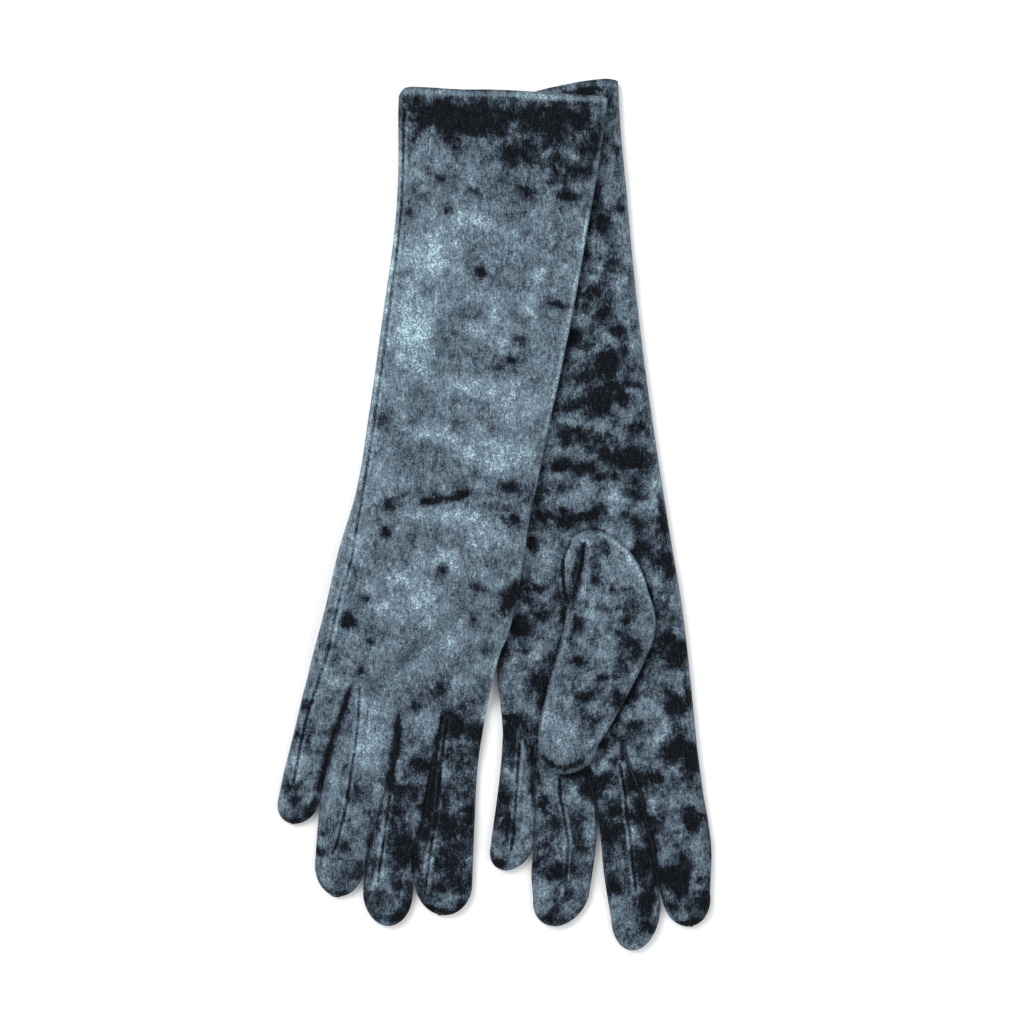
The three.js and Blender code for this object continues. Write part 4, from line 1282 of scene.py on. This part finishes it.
RIGHT = Glove(
    side="right",
    placing=Placing(-10.17, 4.6, 204.2),
    cuff=((0, 10.4), (0.02, 7.4), (0.05, 5.9), (0.12, 4.9), (0.3, 2.6), (0.58, -1.6), (1, -6.2)),
    low_edge=(
        (-8, -51), (10.4, -49.6), (44.8, -43.9), (73.8, -40.7), (113, -39.1), (162, -37.2),
        (201, -36.6), (231, -39.6), (261, -41.1), (291, -43.6), (311, -45.4), (335, -46.6),
    ),
    high_edge=(
        (-8, 50), (8, 51), (59, 51.6), (96, 51.7), (131, 50.9), (154, 50), (182, 49.4),
        (198, 48.8), (213, 49.2), (230, 49.6), (248, 49.2), (258, 48.2), (266, 46.3), (298, 44.6),
        (335, 46.6),
    ),
    fingers=(
        Finger(
            "little",
            ((-44.6, 302), (-46.0, 326), (-47.3, 345), (-47.5, 356)),
            ((-21.4, 292.8), (-25.3, 314.5), (-26.95, 332), (-27.4, 343.5), (-27.5, 354.5)),
            (-38.4, 366.6),
            -0.07,
        ),
        Finger(
            "ring",
            (
                (-21.4, 292.8), (-25.1, 314.5), (-26.75, 332), (-27.2, 343.5), (-27.2, 354.5),
                (-26.2, 367.3), (-24.7, 381.4),
            ),
            (
                (2.4, 304.6), (3.55, 317), (3.75, 328.4), (2.95, 340.3), (2.0, 352.5),
                (0.5, 367.6), (-0.15, 382),
            ),
            (-11.9, 397.6),
            -0.05,
        ),
        Finger(
            "middle",
            (
                (2.4, 304.6), (3.75, 317), (3.95, 328.4), (3.15, 340.3), (2.2, 352.5),
                (0.7, 367.6), (0.15, 382), (0.6, 391),
            ),
            (
                (24.2, 302.2), (23.6, 324.5), (23.6, 335.8), (24.0, 349), (23.8, 358.4),
                (22.95, 369.9), (24.1, 381.1), (25.2, 391),
            ),
            (14.6, 407.5),
            -0.13,
        ),
        Finger(
            "index",
            (
                (24.2, 302.2), (23.8, 324.5), (23.8, 335.8), (24.2, 349), (24.0, 358.4),
                (23.15, 369.9), (24.4, 381.1),
            ),
            ((44.6, 300), (45.0, 320.6), (49.0, 353.9), (51.2, 369.8), (52.9, 381.7)),
            (39.8, 397.6),
            -0.19,
        ),
    ),
    thumb=Thumb(
        low=(
            (11, 178.6), (5.0, 181), (-1.0, 188), (-6.0, 197), (-8.6, 206), (-8.0, 214),
            (-10.4, 221), (-15.8, 219.4), (-26.4, 236.2), (-35.4, 252.6), (-36.2, 254.4),
        ),
        high=(
            (11.2, 178.6), (17, 181), (24, 188.5), (29.8, 197), (33.2, 206), (34.4, 216),
            (30.2, 228.9), (17.8, 244.6), (5.7, 260.5), (-7.5, 275.6), (-9.8, 276.3),
        ),
        tip=(-33.4, 280.2),
    ),
    thumb_face=Face.DOWN,
    seams=Seams(
        up=(
            (
                (-45.7, 15.6), (-39.5, 58.8), (-37.2, 88), (-34.3, 156), (-32.9, 205.5),
                (-32.5, 235), (-34.8, 255), (-36.1, 283.4), (-37.7, 294), (-39.8, 306.7),
                (-41.2, 318.3), (-41.4, 330.7), (-41.4, 346),
            ),
            (
                (-17.9, 294.4), (-15.9, 310.8), (-15.0, 324), (-14.8, 336.3), (-14.4, 349.5),
                (-14.4, 357.9), (-15.4, 371.4), (-16.7, 377),
            ),
            ((5.6, 345), (6.3, 355.1), (6.5, 367.4), (7.1, 378.6), (7.5, 386)),
            (
                (26.6, 303.2), (27.0, 316.4), (27.8, 329.6), (29.0, 341.7), (29.7, 353.9),
                (29.8, 365.2), (30.3, 376.4), (31.1, 389.1),
            ),
        ),
        down=(
            ((-38, 310), (-39, 350)), ((-14, 310), (-14, 350), (-16, 380)),
            ((10, 320), (10, 360), (8, 395)), ((34, 318), (38, 350), (40, 385)),
        ),
    ),
    folds=(
        Fold(-14, 206, 16, 193.5, 2.6, -1.3),
        Fold(-14, 210, 16, 197.5, 2.6, 0.8),
        Fold(16, 194, 47, 203, 2.4, -0.9),
        Fold(-6.4, 168.7, 13.9, 174.9, 3.0, 0.9),
        Fold(17.2, 33.9, 35.1, 18.4, 2.2, 0.8),
    ),
    spots=RIGHT_SPOTS,
    # Painted light on the right glove: the lines of positive amount are painted highlights along
    # the cuff's fold, the outer edge and seam lips, those of negative amount painted shade between
    # the fingers and in a crease.
    lines=(
        PaintedShadingLine(((-47, 8.2), (-42, 6.9), (-20, 4.4), (8, 0.1), (49, -4.6)), 1.5, 0.3),
        PaintedShadingLine(((50.3, 248.5), (46, 271), (44.8, 288.9), (44, 300.9)), 1.2, 0.2),
        PaintedShadingLine(((50.4, 50), (50.7, 80), (50.6, 100), (49.9, 131), (48.7, 160)), 1.1, 0.17),
        PaintedShadingLine(
            (
                (-22.7, 295.3), (-23.8, 308.3), (-26.4, 321.1), (-27.2, 333.1), (-28.6, 344.6),
                (-29.7, 354.7),
            ),
            1.3,
            -0.33,
        ),
        PaintedShadingLine(((2.8, 305.5), (4.6, 318), (4.6, 329.3), (4.4, 338.7)), 1.5, -0.36),
        PaintedShadingLine(((0, 364.1), (0.3, 387.7)), 1, -0.2),
        PaintedShadingLine(
            (
                (23.9, 302.2), (23.9, 316), (23.8, 328.8), (23.8, 340.2), (23, 354.6),
                (21.8, 364.7), (23.3, 378.7),
            ),
            1.1,
            -0.36,
        ),
        PaintedShadingLine(
            (
                (27.4, 302.6), (27.3, 315.4), (27.1, 328.2), (26.7, 339.7), (25.8, 354.1),
                (24.8, 367.6),
            ),
            2.6,
            -0.1,
        ),
        PaintedShadingLine(((30.8, 370.9), (31.6, 389)), 0.8, 0.14),
        PaintedShadingLine(((43.9, 320.3), (46.3, 336.1), (47.4, 347.8), (51.3, 375.2)), 0.9, 0.14),
        PaintedShadingLine(((-3.5, 201.7), (6.8, 198.4), (17.2, 193.5)), 1.3, -0.3),
    ),
    rumple=Rumple(seed=7),
    tone=0.485,
    over=LEFT,
)


# ---- Stage ----------------------------------------------------------------------------------

@dataclass(frozen=True)
class Stage:
    """A pale floor, soft light from all round, and a camera looking straight down."""

    height: float = 1.2
    view_width: float = 0.4966
    centre: tuple[float, float] = (0.0087, 0.0019)

    def build(self) -> None:
        """Makes the floor, the lights and the camera."""
        scene = bpy.context.scene
        scene.view_settings.view_transform = "Standard"
        world = bpy.data.worlds.new("room")
        world.use_nodes = True
        world.node_tree.nodes["Background"].inputs["Color"].default_value = (1, 1, 1, 1)
        world.node_tree.nodes["Background"].inputs["Strength"].default_value = 0.62
        scene.world = world
        floor = bpy.data.meshes.new("floor")
        corners = ((-1, -1), (1, -1), (1, 1), (-1, 1))
        at = [(FLOOR_HALF * x, FLOOR_HALF * y, 0) for x, y in corners]
        floor.from_pydata(at, [], [(0, 1, 2, 3)])
        ground = bpy.data.objects.new("floor", floor)
        scene.collection.objects.link(ground)
        sh = Shader("floor_paint")
        paint = {"Base Color": (0.93, 0.93, 0.93, 1), "Roughness": 0.9, "Specular IOR Level": 0.1}
        sh.set(sh.surface, paint)
        floor.materials.append(sh.material)
        for name, place, energy, size in (
            ("key", (-0.9, 0.9, 1.6), 34.0, 1.2),
            ("fill", (1.2, -0.3, 1.5), 12.0, 1.4),
        ):
            light = bpy.data.lights.new(name, "AREA")
            light.energy, light.size = energy, size
            lamp = bpy.data.objects.new(name, light)
            lamp.location = place
            aim = Vector(place) * -1
            lamp.rotation_euler = aim.to_track_quat("-Z", "Y").to_euler()
            scene.collection.objects.link(lamp)
        camera = bpy.data.cameras.new("camera")
        camera.sensor_width = 36
        camera.lens = 36 * (self.height - 0.008) / self.view_width
        seen = bpy.data.objects.new("camera", camera)
        seen.location = (*self.centre, self.height)
        scene.collection.objects.link(seen)
        scene.camera = seen


def main() -> None:
    """Builds the stage and the two gloves, and logs how many pieces each glove has."""
    logging.basicConfig(level=logging.INFO, format="%(name)s %(message)s")
    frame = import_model()
    Stage().build()
    velvet = Velvet()
    for glove in (LEFT, RIGHT):
        made = glove.build(velvet, frame)
        log.info("%s glove: %d pieces", glove.side, len(made))


if __name__ == "__main__":
    main()
